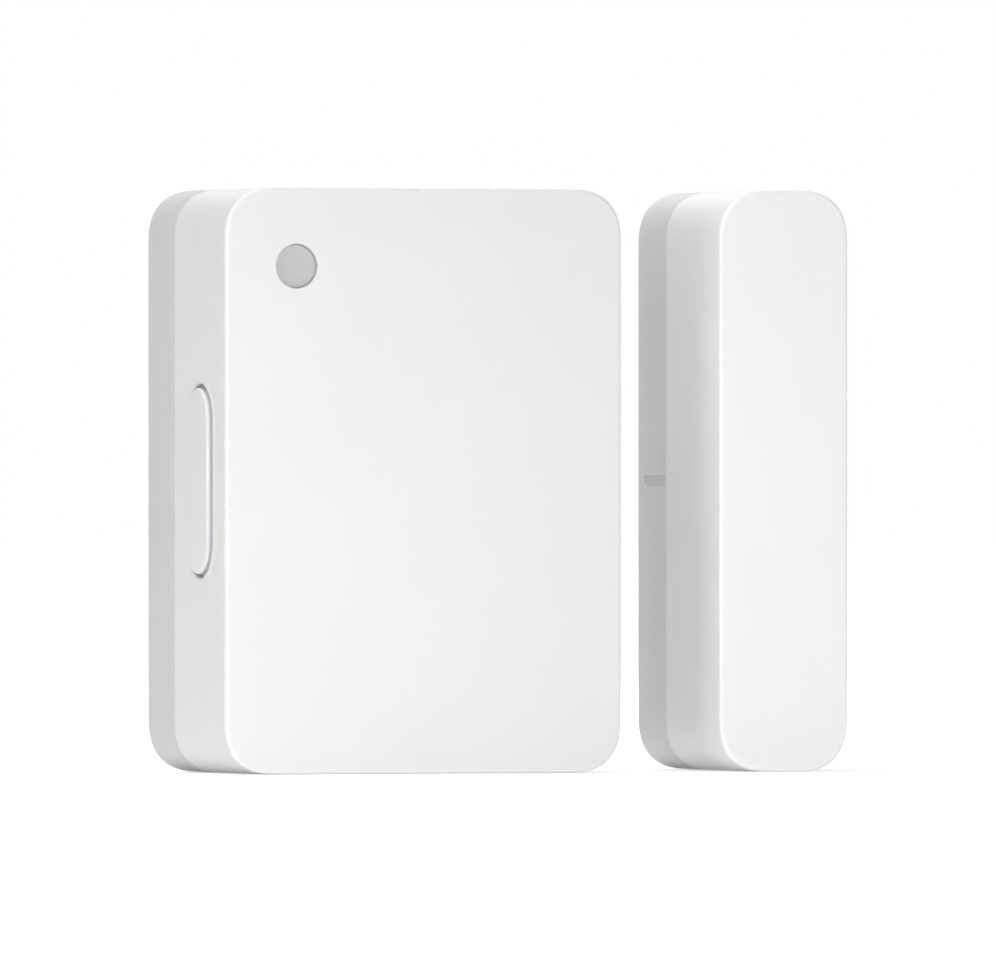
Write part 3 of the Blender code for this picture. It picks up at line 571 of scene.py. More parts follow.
def button_material():
    m = Nodes("button_plastic")
    x, y, z = m.xyz()
    base = WHITE
    cloud = m.noise(140, 4)
    tone = m.mix(m.range(cloud, 0.3, 0.7, 0, 1), scaled(base, 0.985), scaled(base, 1.01))
    # thumb polish in the middle of the pill
    dz = m.math("ABSOLUTE", z)
    thumb = m.math("MULTIPLY", m.range(dz, 0.001, 0.0065, 1.0, 0.0, True),
                   m.range(m.noise(300, 3), 0.3, 0.7, 0.4, 1.0))
    tone = m.mix(m.math("MULTIPLY", thumb, 0.10), tone, (0.84, 0.83, 0.81))
    # painted shade: the cap's walls below the case surface are tinted darker, standing in for the shade in the gap
    # round the cap
    painted_gap_shade = m.range(x, (BUTTON_X + 0.25) * MM, (BUTTON_X + 0.34) * MM, 0.0, 1.0, True)
    tone = m.mix(m.math("MULTIPLY", painted_gap_shade, m.range(m.noise(700, 3), 0.3, 0.7, 0.90, 1.0)), tone, (0.57, 0.57, 0.62))
    m.color(tone)
    r = m.range(m.noise(1600, 2), 0.3, 0.7, 0.36, 0.46)
    m.rough(m.math("SUBTRACT", r, m.math("MULTIPLY", thumb, 0.07)))
    n1 = m.bump(m.noise(90, 2), 0.00004, 0.2)
    n2 = m.bump(m.noise(9000, 2, 0.6), 0.000010, 0.45, n1)
    m.normal(n2)
    m.fixed(ior=1.49)
    return m.mat


def window_material():
    """Frosted grey light guide."""
    m = Nodes("window_frosted_grey")
    x, y, z = m.xyz()
    dx = m.math("SUBTRACT", x, WINDOW_X * MM)
    dz = m.math("SUBTRACT", z, WINDOW_Z * MM)
    rad = m.math("SQRT", m.math("ADD", m.math("MULTIPLY", dx, dx), m.math("MULTIPLY", dz, dz)))
    ring = m.range(rad, 0.0011, 0.00174, 0.0, 1.0, True)
    cloud = m.range(m.noise(700, 4), 0.3, 0.7, 0.0, 1.0)
    tone = m.mix(cloud, (0.520, 0.520, 0.522), (0.545, 0.545, 0.545))
    tone = m.mix(m.math("MULTIPLY", ring, 0.35), tone, (0.56, 0.56, 0.57))
    m.color(tone)
    m.rough(m.range(m.noise(2600, 2), 0.3, 0.7, 0.30, 0.42))
    n1 = m.bump(m.noise(14000, 2, 0.6), 0.000008, 0.5)
    m.normal(n1)
    m.fixed(ior=1.58, coat=0.25, coat_rough=0.18)
    return m.mat


def foam_material(name, base, cell=2600, dark=0.55, top=None):
    """Closed-cell foam: pores, crumbs and a soft sheen."""
    m = Nodes(name)
    pores = m.voronoi(cell, "F1")
    pores2 = m.voronoi(cell * 2.3, "F1")
    hole = m.range(pores, 0.10, 0.34, 1.0, 0.0, True)
    hole2 = m.range(pores2, 0.12, 0.30, 0.6, 0.0, True)
    holes = m.math("MAXIMUM", hole, hole2)
    tone = m.mix(m.range(m.noise(160, 4), 0.3, 0.7, 0, 1), scaled(base, 0.94), scaled(base, 1.03))
    tone = m.mix(m.math("MULTIPLY", holes, 0.7), tone, scaled(base, dark))
    m.color(tone)
    m.rough(m.range(m.noise(900, 3), 0.3, 0.7, 0.80, 0.95))
    h = m.math("SUBTRACT", m.math("MULTIPLY", m.noise(1200, 3), 0.5), holes)
    m.normal(m.bump(h, 0.00005, 0.7))
    m.fixed(sheen=0.15, sheen_rough=0.6)
    return m.mat


MAT_BUTTON = button_material()
MAT_WINDOW = window_material()
MAT_PAD = foam_material("acrylic_foam_tape", (0.80, 0.80, 0.78), 3200, 0.8)
MAT_FOAM = foam_material("soft_grey_foam", (0.10, 0.10, 0.105), 2200, 0.35)


# ======================================================= the outer, seen pieces
def front_cover(name, centre_x, width, n_fillet=8):
    def ring(inset, y):
        r = max(CORNER_R - inset * 0.9, 1.6)
        return y_ring(superellipse_outline(width - 2 * inset, CASE_H - 2 * inset, r), centre_x, 0, y)

    rings = [ring(2.6, FRONT_Y), ring(1.2, FRONT_Y)]
    for t in arc(n_fillet):
        rings.append(ring(FRONT_R * (1 - math.sin(t)), FRONT_Y + FRONT_R * (1 - math.cos(t))))
    rings.append(ring(0.0, FRONT_Y + 1.2))
    rings.append(ring(0.0, (FRONT_Y + PART_Y) / 2))
    edge = 0.12
    rings.append(ring(0.0, PART_Y - edge - 0.8))
    for t in arc(4):
        rings.append(ring(edge * (1 - math.cos(t)), PART_Y - edge + edge * math.sin(t)))
    # stepped rim inside: a thin lip that the rear cover's wall meets
    rings.append(ring(WALL - 0.08, PART_Y))
    rings.append(ring(WALL, PART_Y - 0.08))
    rings.append(ring(WALL, FRONT_Y + WALL + 0.45))
    for t in arc(4)[1:]:
        rings.append(ring(WALL + 0.45 * (1 - math.cos(t)), FRONT_Y + WALL + 0.45 * (1 - math.sin(t))))
    return solid(name, loft(rings))


def rim_cutter_y(outline_fn, depth_from, rim, n=6, reach=3.0):
    """A cutter along Y for a hole whose front rim is rounded by `rim`.

    outline_fn(extra) gives the hole's ring points at y = value, grown by extra.
    """
    rings = [outline_fn(rim, FRONT_Y - 1.0), outline_fn(rim, FRONT_Y)]
    for t in arc(n)[1:]:
        rings.append(outline_fn(rim * (1 - math.sin(t)), FRONT_Y + rim * (1 - math.cos(t))))
    rings.append(outline_fn(0.0, FRONT_Y + depth_from + reach))
    return loft(rings)


# ---------------------------------------------------------- sensor front cover
front = front_cover("sensor_front_shell", SENSOR_X, SENSOR_W)
cut(front, rim_cutter_y(
    lambda extra, y: y_ring(circle_outline(WINDOW_R + extra, 72), WINDOW_X, WINDOW_Z, y), WALL, 0.10))

side_x = SENSOR_X - SENSOR_W / 2
rim = 0.22
rings = [x_ring(pill_outline(BUTTON_HALF_W + rim, BUTTON_HALF_H + rim), side_x - 1.0, BUTTON_Y, 0),
         x_ring(pill_outline(BUTTON_HALF_W + rim, BUTTON_HALF_H + rim), side_x, BUTTON_Y, 0)]
for t in arc(5)[1:]:
    e = rim * (1 - math.sin(t))
    rings.append(x_ring(pill_outline(BUTTON_HALF_W + e, BUTTON_HALF_H + e), side_x + rim * (1 - math.cos(t)), BUTTON_Y, 0))
rings.append(x_ring(pill_outline(BUTTON_HALF_W, BUTTON_HALF_H), side_x + WALL + 1.2, BUTTON_Y, 0))
cut(front, loft(rings))

for bx, bz in SCREWS:
    root = FRONT_Y + WALL - 0.4
    tip = PCB_FRONT_Y - 0.05
    boss = turned([(0, root), (2.35, root), (2.35, root + 0.75), (2.05, root + 1.05), (1.86, root + 1.8),
                   (1.80, tip - 0.1), (1.70, tip), (0, tip)], bx, bz, 40)
    fuse(front, boss)
    for angle in (0, 90, 180, 270):
        # gussets at the boss's foot
        a = math.radians(angle + 45)
        g = block(1.2, 3.1, root, root + 2.6, -0.35, 0.35)
        bmesh.ops.rotate(g, verts=g.verts, cent=(0, 0, 0), matrix=Matrix.Rotation(a, 3, "Y"))
        bmesh.ops.translate(g, verts=g.verts, vec=(bx, 0, bz))
        fuse(front, g)
    cut(front, turned([(0, tip - 4.85), (0.66, tip - 4.85), (0.66, tip - 0.25), (0.9, tip + 0.4), (0, tip + 0.4)], bx, bz, 32))
for bx, bz in ((-11.1, 12.4), (11.8, -18.2)):
    fuse(front, block(bx - 0.6, bx + 0.6, FRONT_Y + WALL - 0.4, PCB_FRONT_Y - 0.05, bz - 1.6, bz + 1.6))
shade(front)
place(front, "sensor_unit", MAT_SENSOR_FRONT, ["sensor_front_cover"])


# ----------------------------------------------------------- sensor rear cover
def rear_cover(name, centre_x, width, notch_side):
    def ring(inset, y):
        r = max(CORNER_R - inset * 0.9, 1.5)
        return y_ring(superellipse_outline(width - 2 * inset, CASE_H - 2 * inset, r), centre_x, 0, y)

    rim_y = PART_Y + SEAM
    rings = [ring(POCKET_INSET + 0.25, POCKET_Y)]
    for t in arc(3):
        rings.append(ring(POCKET_INSET + 0.12 * (1 - math.sin(t)), POCKET_Y + 0.12 * (1 - math.cos(t))))
    rings.append(ring(POCKET_INSET, BACK_Y - 0.08))
    rings.append(ring(POCKET_INSET - 0.08, BACK_Y))
    rings.append(ring(POCKET_INSET - 0.5, BACK_Y))
    for t in arc(8):
        rings.append(ring(BACK_R * (1 - math.sin(t)), BACK_Y - BACK_R * (1 - math.cos(t))))
    rings.append(ring(0.0, BACK_Y - 1.2))
    rings.append(ring(0.0, rim_y + RIM_DEPTH + 0.9))
    rings.append(ring(0.0, rim_y + RIM_DEPTH + 0.10))
    rings.append(ring(0.01, rim_y + RIM_DEPTH - 0.04))
    rings.append(ring(RIM_INSET - 0.02, rim_y + 0.08))
    rings.append(ring(RIM_INSET + 0.06, rim_y))
    rings.append(ring(WALL - 0.08, rim_y))
    rings.append(ring(WALL, rim_y + 0.08))
    rings.append(ring(WALL, FLOOR_Y - 0.5))
    for t in arc(4)[1:]:
        rings.append(ring(WALL + 0.5 * (1 - math.cos(t)), FLOOR_Y - 0.5 * (1 - math.sin(t))))
    obj = solid(name, loft(rings))

    # pry slot, with a rounded rear end and a flared mouth
    face = centre_x + notch_side * width / 2
    half = 0.43
    profile = []
    for t in arc(8):
        profile.append((-1.6 - half * (1 - math.cos(t)), -half * math.sin(t)))
    profile += [(rim_y + RIM_DEPTH + 0.15, -half), (rim_y + RIM_DEPTH - 0.12, -half - 0.02),
                (rim_y - 0.5, -half - 0.08), (rim_y - 0.5, half + 0.08),
                (rim_y + RIM_DEPTH - 0.12, half + 0.02), (rim_y + RIM_DEPTH + 0.15, half)]
    for t in arc(8)[::-1][:-1]:
        profile.append((-1.6 - half * (1 - math.cos(t)), half * math.sin(t)))
    rings = []
    for depth, grow in ((0.28, 0.0), (0.10, 0.0), (0.03, 0.03), (0.0, 0.10), (-1.0, 0.10)):
        x = face - notch_side * depth
        rings.append([(x, y + (grow if y > -3 else 0), z + (grow if z > 0 else -grow)) for y, z in profile])
    cut(obj, loft(rings))
    return obj


def snap_hook(obj, centre_x, width, side, along, half_len, reach_y):
    gap, thick, nose = 0.14, 0.9, 0.10
    back_y = FLOOR_Y + 0.3
    horizontal = side in ("left", "right")
    s = -1 if side in ("left", "bottom") else 1
    outer = (centre_x if horizontal else 0) + s * ((width if horizontal else CASE_H) / 2 - WALL - gap)
    corners = [
        (outer, back_y, 0), (outer, reach_y + 0.9, 0.05), (outer + s * nose, reach_y + 0.55, 0.04),
        (outer + s * nose, reach_y + 0.35, 0.04), (outer - s * 0.35, reach_y, 0.12),
        (outer - s * thick, reach_y, 0.15), (outer - s * thick, back_y, 0),
    ]
    profile = rounded_profile(corners, 0.05, 3)
    lo, hi = along - half_len, along + half_len
    if horizontal:
        ends = [[(x, y, v) for x, y in profile] for v in (lo, hi)]
    else:
        ends = [[(centre_x + v, y, x) for x, y in profile] for v in (lo, hi)]
    fuse(obj, loft(ends))
    # a rib either side stiffens the hook's root
    for v in (lo + 0.35, hi - 0.35):
        if horizontal:
            inner = outer - s * thick
            x0, x1 = sorted((inner + s * 0.2, inner - s * 1.0))
            fuse(obj, block(x0, x1, PART_Y + 2.2, FLOOR_Y + 0.2, v - 0.3, v + 0.3))
        else:
            inner = outer - s * thick
            z0, z1 = sorted((inner + s * 0.2, inner - s * 1.0))
            fuse(obj, block(centre_x + v - 0.3, centre_x + v + 0.3, PART_Y + 2.2, FLOOR_Y + 0.2, z0, z1))


rear = rear_cover("sensor_rear_shell", SENSOR_X, SENSOR_W, +1)
for rib_z in (-4.5, 4.5):
    fuse(rear, block(-7.0, 8.0, CELL_REAR_Y + 0.15, FLOOR_Y + 0.3, rib_z - 0.6, rib_z + 0.6))
for rib_x in (-12.2, 12.2):
    fuse(rear, block(rib_x - 0.5, rib_x + 0.5, -3.6, FLOOR_Y + 0.3, -17.0, 17.0))
for side, along in (("left", 14.0), ("left", -14.0), ("right", 14.0), ("right", -14.0)):
    snap_hook(rear, SENSOR_X, SENSOR_W, side, along, 2.4, HOOK_Y)
for side in ("top", "bottom"):
    snap_hook(rear, SENSOR_X, SENSOR_W, side, 0.0, 3.2, HOOK_Y)
shade(rear)
place(rear, "sensor_base", MAT_SENSOR_REAR, ["sensor_rear_cover"])

# ------------------------------------------------------------ the magnet's shell
m_front = front_cover("magnet_front_shell", MAGNET_X, MAGNET_W)
shade(m_front)
place(m_front, "magnet_unit", MAT_MAGNET_FRONT, ["magnet_front_cover"])

m_rear = rear_cover("magnet_rear_shell", MAGNET_X, MAGNET_W, -1)
post_y = box_mm("magnet_foam_strip")[1].y + 0.05
fuse(m_rear, block(MAGNET_X - 1.5, MAGNET_X + 1.5, post_y, FLOOR_Y + 0.3, -11.0, 11.0))
for side, along in (("left", 16.0), ("left", -16.0), ("right", 16.0), ("right", -16.0)):
    snap_hook(m_rear, MAGNET_X, MAGNET_W, side, along, 1.6, HOOK_Y)
shade(m_rear)
place(m_rear, "magnet_base", MAT_MAGNET_REAR, ["magnet_rear_cover"])


# ------------------------------------------------------------------ the window
lens_profile = [(0, LENS_Y + 0.0)]
for k in range(1, 7):
    lens_profile.append((1.66 * k / 6, LENS_Y + 0.03 * (k / 6) ** 2))
for t in arc(5)[1:]:
    lens_profile.append((1.66 + 0.09 * math.sin(t), LENS_Y + 0.03 + 0.07 * (1 - math.cos(t))))
lens_profile += [(LENS_R, FRONT_Y + WALL + 0.05), (LENS_FLANGE_R - 0.1, FRONT_Y + WALL + 0.05),
                 (LENS_FLANGE_R, FRONT_Y + WALL + 0.15), (LENS_FLANGE_R, LENS_BACK_Y - 0.1),
                 (LENS_FLANGE_R - 0.1, LENS_BACK_Y), (0, LENS_BACK_Y)]
lens = solid("window_light_guide", turned(lens_profile, WINDOW_X, WINDOW_Z, 72))
shade(lens)
place(lens, "sensor_unit", MAT_WINDOW, ["window_lens"])

# ------------------------------------------------------------------ the button
hu, hv = BUTTON_HALF_W - 0.44, BUTTON_HALF_H - 0.30
wall_in = side_x + WALL
rings = []
crown = 0.05
edge = 0.23
for k in range(4):
    f = 1 - k / 4
    rings.append(x_ring(pill_outline(max((hu - edge) * (1 - f) + 0.25 * f, 0.2), hv - edge - (hu - edge - ((hu - edge) * (1 - f) + 0.25 * f))),
                        BUTTON_X + crown * ((1 - f) ** 2), BUTTON_Y, 0))
for t in arc(8):
    rings.append(x_ring(pill_outline(hu - edge + edge * math.sin(t), hv - edge + edge * math.sin(t)),
                        BUTTON_X + crown + edge * (1 - math.cos(t)), BUTTON_Y, 0))
step_u, step_v = BUTTON_HALF_W - 0.10, BUTTON_HALF_H - 0.10
rings.append(x_ring(pill_outline(hu, hv), side_x + 0.34, BUTTON_Y, 0))
rings.append(x_ring(pill_outline(hu + 0.06, hv + 0.06), side_x + 0.40, BUTTON_Y, 0))
rings.append(x_ring(pill_outline(step_u - 0.04, step_v - 0.04), side_x + 0.40, BUTTON_Y, 0))
rings.append(x_ring(pill_outline(step_u, step_v), side_x + 0.44, BUTTON_Y, 0))
rings.append(x_ring(pill_outline(step_u, step_v), wall_in + 0.04, BUTTON_Y, 0))
fu, fv = BUTTON_HALF_W + FLANGE_EXTRA, BUTTON_HALF_H + FLANGE_EXTRA
rings.append(x_ring(pill_outline(fu - 0.08, fv - 0.08), wall_in + 0.04, BUTTON_Y, 0))
rings.append(x_ring(pill_outline(fu, fv), wall_in + 0.12, BUTTON_Y, 0))
rings.append(x_ring(pill_outline(fu, fv), wall_in + 0.47, BUTTON_Y, 0))
rings.append(x_ring(pill_outline(fu - 0.08, fv - 0.08), wall_in + 0.55, BUTTON_Y, 0))
button = solid("side_button_cap", loft(rings))
stem = []
for x, r in ((wall_in + 0.3, 1.1), (BUTTON_TIP_X - 0.15, 1.1), (BUTTON_TIP_X, 0.95)):
    stem.append(x_ring(circle_outline(r, 40), x, BUTTON_Y, 0))
fuse(button, loft(stem))
for s in (-1, 1):
    z0, z1 = sorted((s * 0.6, s * 5.2))
    fuse(button, block(wall_in + 0.3, wall_in + 1.25, BUTTON_Y - 0.35, BUTTON_Y + 0.35, z0, z1))
shade(button)
place(button, "side_button", MAT_BUTTON, ["side_button"])


# -------------------------------------------------------------- adhesive pads
def adhesive_pad(name, node, body, centre_x, width):
    lo, hi = box_mm(node)
    w, h, r = width - 2 * PAD_INSET, CASE_H - 2 * PAD_INSET, CORNER_R - PAD_INSET + 0.4
    rings = []
    # soft die-cut edge that bulges a little between the two adhesive faces
    profile = [(1.6, 0.0), (0.5, 0.0), (0.12, 0.0), (0.03, -0.05), (0.0, -0.16), (0.05, -0.42), (0.0, -0.70), (0.05, -0.84), (0.14, -0.87), (1.4, -0.87)]
    for inset, y in profile:
        o = superellipse_outline(w - 2 * inset, h - 2 * inset, max(r - inset * 0.8, 0.5))
        rings.append(y_ring(o, centre_x, 0, y))
    obj = solid(name, loft(rings))
    shade(obj)
    place(obj, body, MAT_PAD, [node])
    return obj


adhesive_pad("sensor_foam_tape", "sensor_adhesive_pad", "sensor_base", SENSOR_X, SENSOR_W)
adhesive_pad("magnet_foam_tape", "magnet_adhesive_pad", "magnet_base", MAGNET_X, MAGNET_W)


# ================================================= the electronics and the cell
def metal_material(name, base, rough=(0.22, 0.38), brushed=None, tarnish=(0.62, 0.55, 0.45), bump=0.000004, scale=1500):
    """Plated metal: fine brushing or tumbling marks and faint tarnish."""
    m = Nodes(name)
    cloud = m.noise(scale * 0.25, 4, 0.6)
    tone = m.mix(m.range(cloud, 0.35, 0.7, 0, 1), scaled(base, 0.93), scaled(base, 1.03))
    blot = m.range(m.noise(scale * 0.12, 3), 0.52, 0.68, 0.0, 0.22, True)
    tone = m.mix(blot, tone, tuple(b * t for b, t in zip(base, tarnish)))
    m.color(tone)
    if brushed is not None:
        marks = m.noise(1.0, 3, 0.6, m.mapping(brushed))
    else:
        marks = m.noise(scale * 4, 3, 0.6)
    r = m.range(marks, 0.3, 0.7, rough[0], rough[1])
    m.rough(m.math("ADD", r, m.math("MULTIPLY", blot, 0.5), clamp=True))
    m.normal(m.bump(marks, bump, 0.6))
    m.fixed(metallic=1.0)
    return m.mat


def turned_metal_material(name, base, cx, cz, rough=(0.16, 0.30), rings=26000):
    """Drawn and polished can: concentric lines about the cell's axis, with stray scratches."""
    m = Nodes(name)
    x, y, z = m.xyz()
    dx = m.math("SUBTRACT", x, cx * MM)
    dz = m.math("SUBTRACT", z, cz * MM)
    rad = m.math("SQRT", m.math("ADD", m.math("MULTIPLY", dx, dx), m.math("MULTIPLY", dz, dz)))
    combine = m.node("ShaderNodeCombineXYZ")
    m.link(m.math("MULTIPLY", rad, float(rings)), combine.inputs[0])
    m.link(m.math("MULTIPLY", y, float(rings)), combine.inputs[1])
    lines = m.noise(1.0, 2, 0.5, combine.outputs[0])
    cloud = m.noise(340, 4, 0.6)
    tone = m.mix(m.range(cloud, 0.35, 0.7, 0, 1), scaled(base, 0.93), scaled(base, 1.04))
    scratch = m.noise(1.0, 2, 0.4, m.mapping((260, 260, 14000), rotation=(0.0, 0.7, 0.0)))
    hair = m.range(scratch, 0.68, 0.72, 0.0, 1.0)
    m.color(m.mix(m.math("MULTIPLY", hair, 0.18), tone, scaled(base, 0.7)))
    r = m.range(lines, 0.3, 0.7, rough[0], rough[1])
    m.rough(m.math("ADD", r, m.math("MULTIPLY", hair, 0.12), clamp=True))
    h = m.math("ADD", lines, m.math("MULTIPLY", hair, -0.8))
    m.normal(m.bump(h, 0.000003, 0.5))
    m.fixed(metallic=1.0)
    return m.mat


def moulded_material(name, base, rough=(0.42, 0.55), grain=3600, depth=0.00001, fleck=None, fleck_scale=1500):
    """Small moulded or fired parts: grain, cloudy colour and lighter rubbed spots."""
    m = Nodes(name)
    tone = m.mix(m.range(m.noise(grain * 0.12, 4), 0.3, 0.7, 0, 1), scaled(base, 0.88), scaled(base, 1.10))
    if fleck:
        f = m.range(m.voronoi(fleck_scale), 0.08, 0.2, 0.5, 0.0)
        tone = m.mix(f, tone, fleck)
    rub = m.range(m.noise(grain * 0.3, 3), 0.56, 0.72, 0.0, 0.25)
    tone = m.mix(rub, tone, tuple(min(v * 1.25 + 0.02, 1.0) for v in base))
    m.color(tone)
    m.rough(m.range(m.noise(grain * 0.8, 3), 0.3, 0.7, rough[0], rough[1]))
    h = m.math("ADD", m.math("MULTIPLY", m.noise(grain, 2), 0.6), m.math("MULTIPLY", m.voronoi(grain * 0.7), 0.4))
    m.normal(m.bump(h, depth, 0.5))
    return m.mat


def pcb_material():
    """Solder mask over fibreglass: the weave shows faintly, and the sawn edge is bare."""
    m = Nodes("solder_mask_green")
    x, y, z = m.xyz()
    wx = m.math("SINE", m.math("MULTIPLY", x, 2 * math.pi / 0.0005))
    wz = m.math("SINE", m.math("MULTIPLY", z, 2 * math.pi / 0.0005))
    weave = m.math("MULTIPLY", wx, wz)
    cloud = m.noise(260, 4)
    mask = m.mix(m.range(cloud, 0.3, 0.7, 0, 1), (0.010, 0.115, 0.045), (0.015, 0.150, 0.058))
    mask = m.mix(m.range(weave, -0.2, 1.0, 0.0, 0.35), mask, (0.022, 0.175, 0.070))
    # copper pour under the mask, with its clearances as darker veins
    pour = m.voronoi(330, "DISTANCE_TO_EDGE")
    mask = m.mix(m.range(pour, 0.03, 0.05, 0.55, 0.0, True), mask, (0.006, 0.075, 0.030))
    geo = m.node("ShaderNodeNewGeometry")
    nx, ny, nz = m.xyz(geo.outputs["Normal"])
    edge = m.range(m.math("ABSOLUTE", ny), 0.5, 0.8, 1.0, 0.0)
    fibre = m.mix(m.range(m.noise(1.0, 2, 0.5, m.mapping((600, 14000, 600))), 0.4, 0.6, 0, 1),
                  (0.46, 0.42, 0.20), (0.60, 0.56, 0.32))
    m.color(m.mix(edge, mask, fibre))
    m.rough(m.range(m.noise(1800, 2), 0.3, 0.7, 0.28, 0.40))
    h = m.math("ADD", m.math("MULTIPLY", weave, 0.4), m.range(pour, 0.03, 0.06, 0.0, 1.0, True))
    m.normal(m.bump(h, 0.000012, 0.5))
    m.fixed(coat=0.3, coat_rough=0.15)
    return m.mat


def trace_material():
    m = Nodes("mask_over_copper")
    m.color(m.mix(m.range(m.noise(420, 3), 0.3, 0.7, 0, 1), (0.030, 0.215, 0.085), (0.040, 0.250, 0.100)))
    m.rough(m.range(m.noise(2400, 2), 0.3, 0.7, 0.22, 0.36))
    m.normal(m.bump(m.noise(5000, 2), 0.000005, 0.4))
    m.fixed(coat=0.35, coat_rough=0.12)
    return m.mat


def silk_material():
    m = Nodes("printed_legend_ink")
    m.color(m.mix(m.range(m.noise(2600, 4), 0.35, 0.62, 0, 1), (0.60, 0.62, 0.58), (0.84, 0.85, 0.82)))
    m.rough(m.range(m.noise(3000, 2), 0.3, 0.7, 0.55, 0.75))
    m.normal(m.bump(m.noise(7000, 3), 0.000008, 0.6))
    return m.mat


def glass_material():
    m = Nodes("reed_tube_glass")
    m.color(m.mix(m.range(m.noise(300, 2), 0.3, 0.7, 0, 1), (0.80, 0.94, 0.86), (0.86, 0.97, 0.90)))
    m.rough(m.range(m.noise(500, 3), 0.3, 0.7, 0.02, 0.07))
    m.normal(m.bump(m.noise(180, 2), 0.00003, 0.3))
    m.fixed(trans=0.85, ior=1.50)
    return m.mat


def epoxy_material():
    m = Nodes("clear_led_epoxy")
    m.color(m.mix(m.range(m.noise(1200, 3), 0.3, 0.7, 0, 1), (0.78, 0.78, 0.66), (0.86, 0.86, 0.78)))
    m.rough(m.range(m.noise(2200, 2), 0.3, 0.7, 0.10, 0.20))
    m.normal(m.bump(m.noise(2500, 2), 0.000008, 0.4))
    m.fixed(trans=0.35, ior=1.52)
    return m.mat


MAT_PCB = pcb_material()
MAT_TRACE = trace_material()
MAT_SILK = silk_material()
MAT_GLASS = glass_material()
MAT_EPOXY = epoxy_material()
MAT_STEEL = metal_material("tinned_steel", (0.66, 0.66, 0.65), (0.24, 0.42), (900, 900, 16000))
MAT_CLIP = metal_material("nickel_spring_steel", (0.70, 0.685, 0.65), (0.18, 0.34), (1200, 16000, 1200))
MAT_GOLD = metal_material("gilt_contact", (0.80, 0.58, 0.26), (0.16, 0.30), None)
MAT_TIN = metal_material("solder_tin", (0.72, 0.72, 0.73), (0.25, 0.45), None)
MAT_CELL = turned_metal_material("drawn_steel_can", (0.70, 0.695, 0.68), CELL_X, CELL_Z)
MAT_CAP = turned_metal_material("satin_steel_cap", (0.68, 0.675, 0.66), CELL_X, CELL_Z, (0.28, 0.40), 9000)
MAT_NICKEL = metal_material("nickel_plated_magnet", (0.64, 0.625, 0.60), (0.14, 0.26), None, scale=900)
MAT_CHIP = moulded_material("black_mould_compound", (0.022, 0.022, 0.024), (0.45, 0.6), 5200, 0.000008)
MAT_HOLDER = moulded_material("black_glass_filled_nylon", (0.034, 0.034, 0.037), (0.42, 0.58), 2600, 0.000014,
                              (0.07, 0.07, 0.075))
MAT_SLEEVE = moulded_material("black_rubber_sleeve", (0.028, 0.028, 0.028), (0.7, 0.85), 2400, 0.000012)
MAT_TANTALUM = moulded_material("yellow_mould_compound", (0.72, 0.47, 0.07), (0.42, 0.56), 4200)
MAT_CERAMIC = moulded_material("fired_tan_ceramic", (0.48, 0.35, 0.22), (0.35, 0.5), 6200, 0.000006)
MAT_ANTENNA = moulded_material("white_antenna_ceramic", (0.78, 0.78, 0.74), (0.32, 0.45), 5200, 0.000006)
MAT_GASKET = moulded_material("blue_grey_gasket", (0.085, 0.13, 0.24), (0.5, 0.65), 2800)
MAT_CRADLE = moulded_material("natural_white_nylon", (0.74, 0.74, 0.72), (0.42, 0.56), 2800, 0.000010)
MAT_PLUNGER = moulded_material("white_plunger_nylon", (0.80, 0.80, 0.78), (0.38, 0.5), 4200, 0.000006)


def merged(*parts):
    out = bmesh.new()
    for part in parts:
        mesh = bpy.data.meshes.new("part")
        part.to_mesh(mesh)
        part.free()
        out.from_mesh(mesh)
        bpy.data.meshes.remove(mesh)
    return out


def two_tone(name, body, nodes, groups, angle=35.0):
    """One piece from several (bmesh parts, material) groups."""
    out = bmesh.new()
    mats = []
    for index, (parts, mat) in enumerate(groups):
        mats.append(mat)
        start = len(out.faces)
        for part in parts:
            mesh = bpy.data.meshes.new("part")
            bmesh.ops.recalc_face_normals(part, faces=part.faces)
            part.to_mesh(mesh)
            part.free()
            out.from_mesh(mesh)
            bpy.data.meshes.remove(mesh)
        out.faces.ensure_lookup_table()
        for face in out.faces[start:]:
            face.material_index = index
    bmesh.ops.scale(out, verts=out.verts, vec=(MM, MM, MM))
    mesh = bpy.data.meshes.new(name)
    out.to_mesh(mesh)
    out.free()
    obj = bpy.data.objects.new(name, mesh)
    bpy.context.scene.collection.objects.link(obj)
    mesh.shade_smooth()
    mesh.set_sharp_from_angle(angle=math.radians(angle))
    for mat in mats:
        mesh.materials.append(mat)
    mod = obj.modifiers.new("normals", "WEIGHTED_NORMAL")
    mod.mode = "FACE_AREA"
    mod.keep_sharp = True
    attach(obj, body)
    if nodes:
        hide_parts(*nodes)
    return obj


def ribbon(points, width, y, thick):
    """Closed flat strip along points (x, z), mitred at its bends."""
    bm = bmesh.new()
    pts = [Vector(p) for p in points]
    rows = []
    for i, p in enumerate(pts):
        before = (p - pts[i - 1]).normalized() if i else (pts[1] - p).normalized()
        after = (pts[i + 1] - p).normalized() if i < len(pts) - 1 else before
        d = (before + after).normalized()
        n = Vector((-d.y, d.x))
        k = 1.0 / max(n.dot(Vector((-before.y, before.x))), 0.5)
        a, b = p + n * width / 2 * k, p - n * width / 2 * k
        rows.append([bm.verts.new((a.x, y, a.y)), bm.verts.new((b.x, y, b.y)),
                     bm.verts.new((b.x, y + thick, b.y)), bm.verts.new((a.x, y + thick, a.y))])
    for r, s in zip(rows, rows[1:]):
        for i in range(4):
            j = (i + 1) % 4
            bm.faces.new((r[i], r[j], s[j], s[i]))
    bm.faces.new(rows[0])
    bm.faces.new(rows[-1])
    return bm


def disc(x, z, r, y, thick, seg=20):
    return turned([(0, y), (r, y), (r, y + thick), (0, y + thick)], x, z, seg)


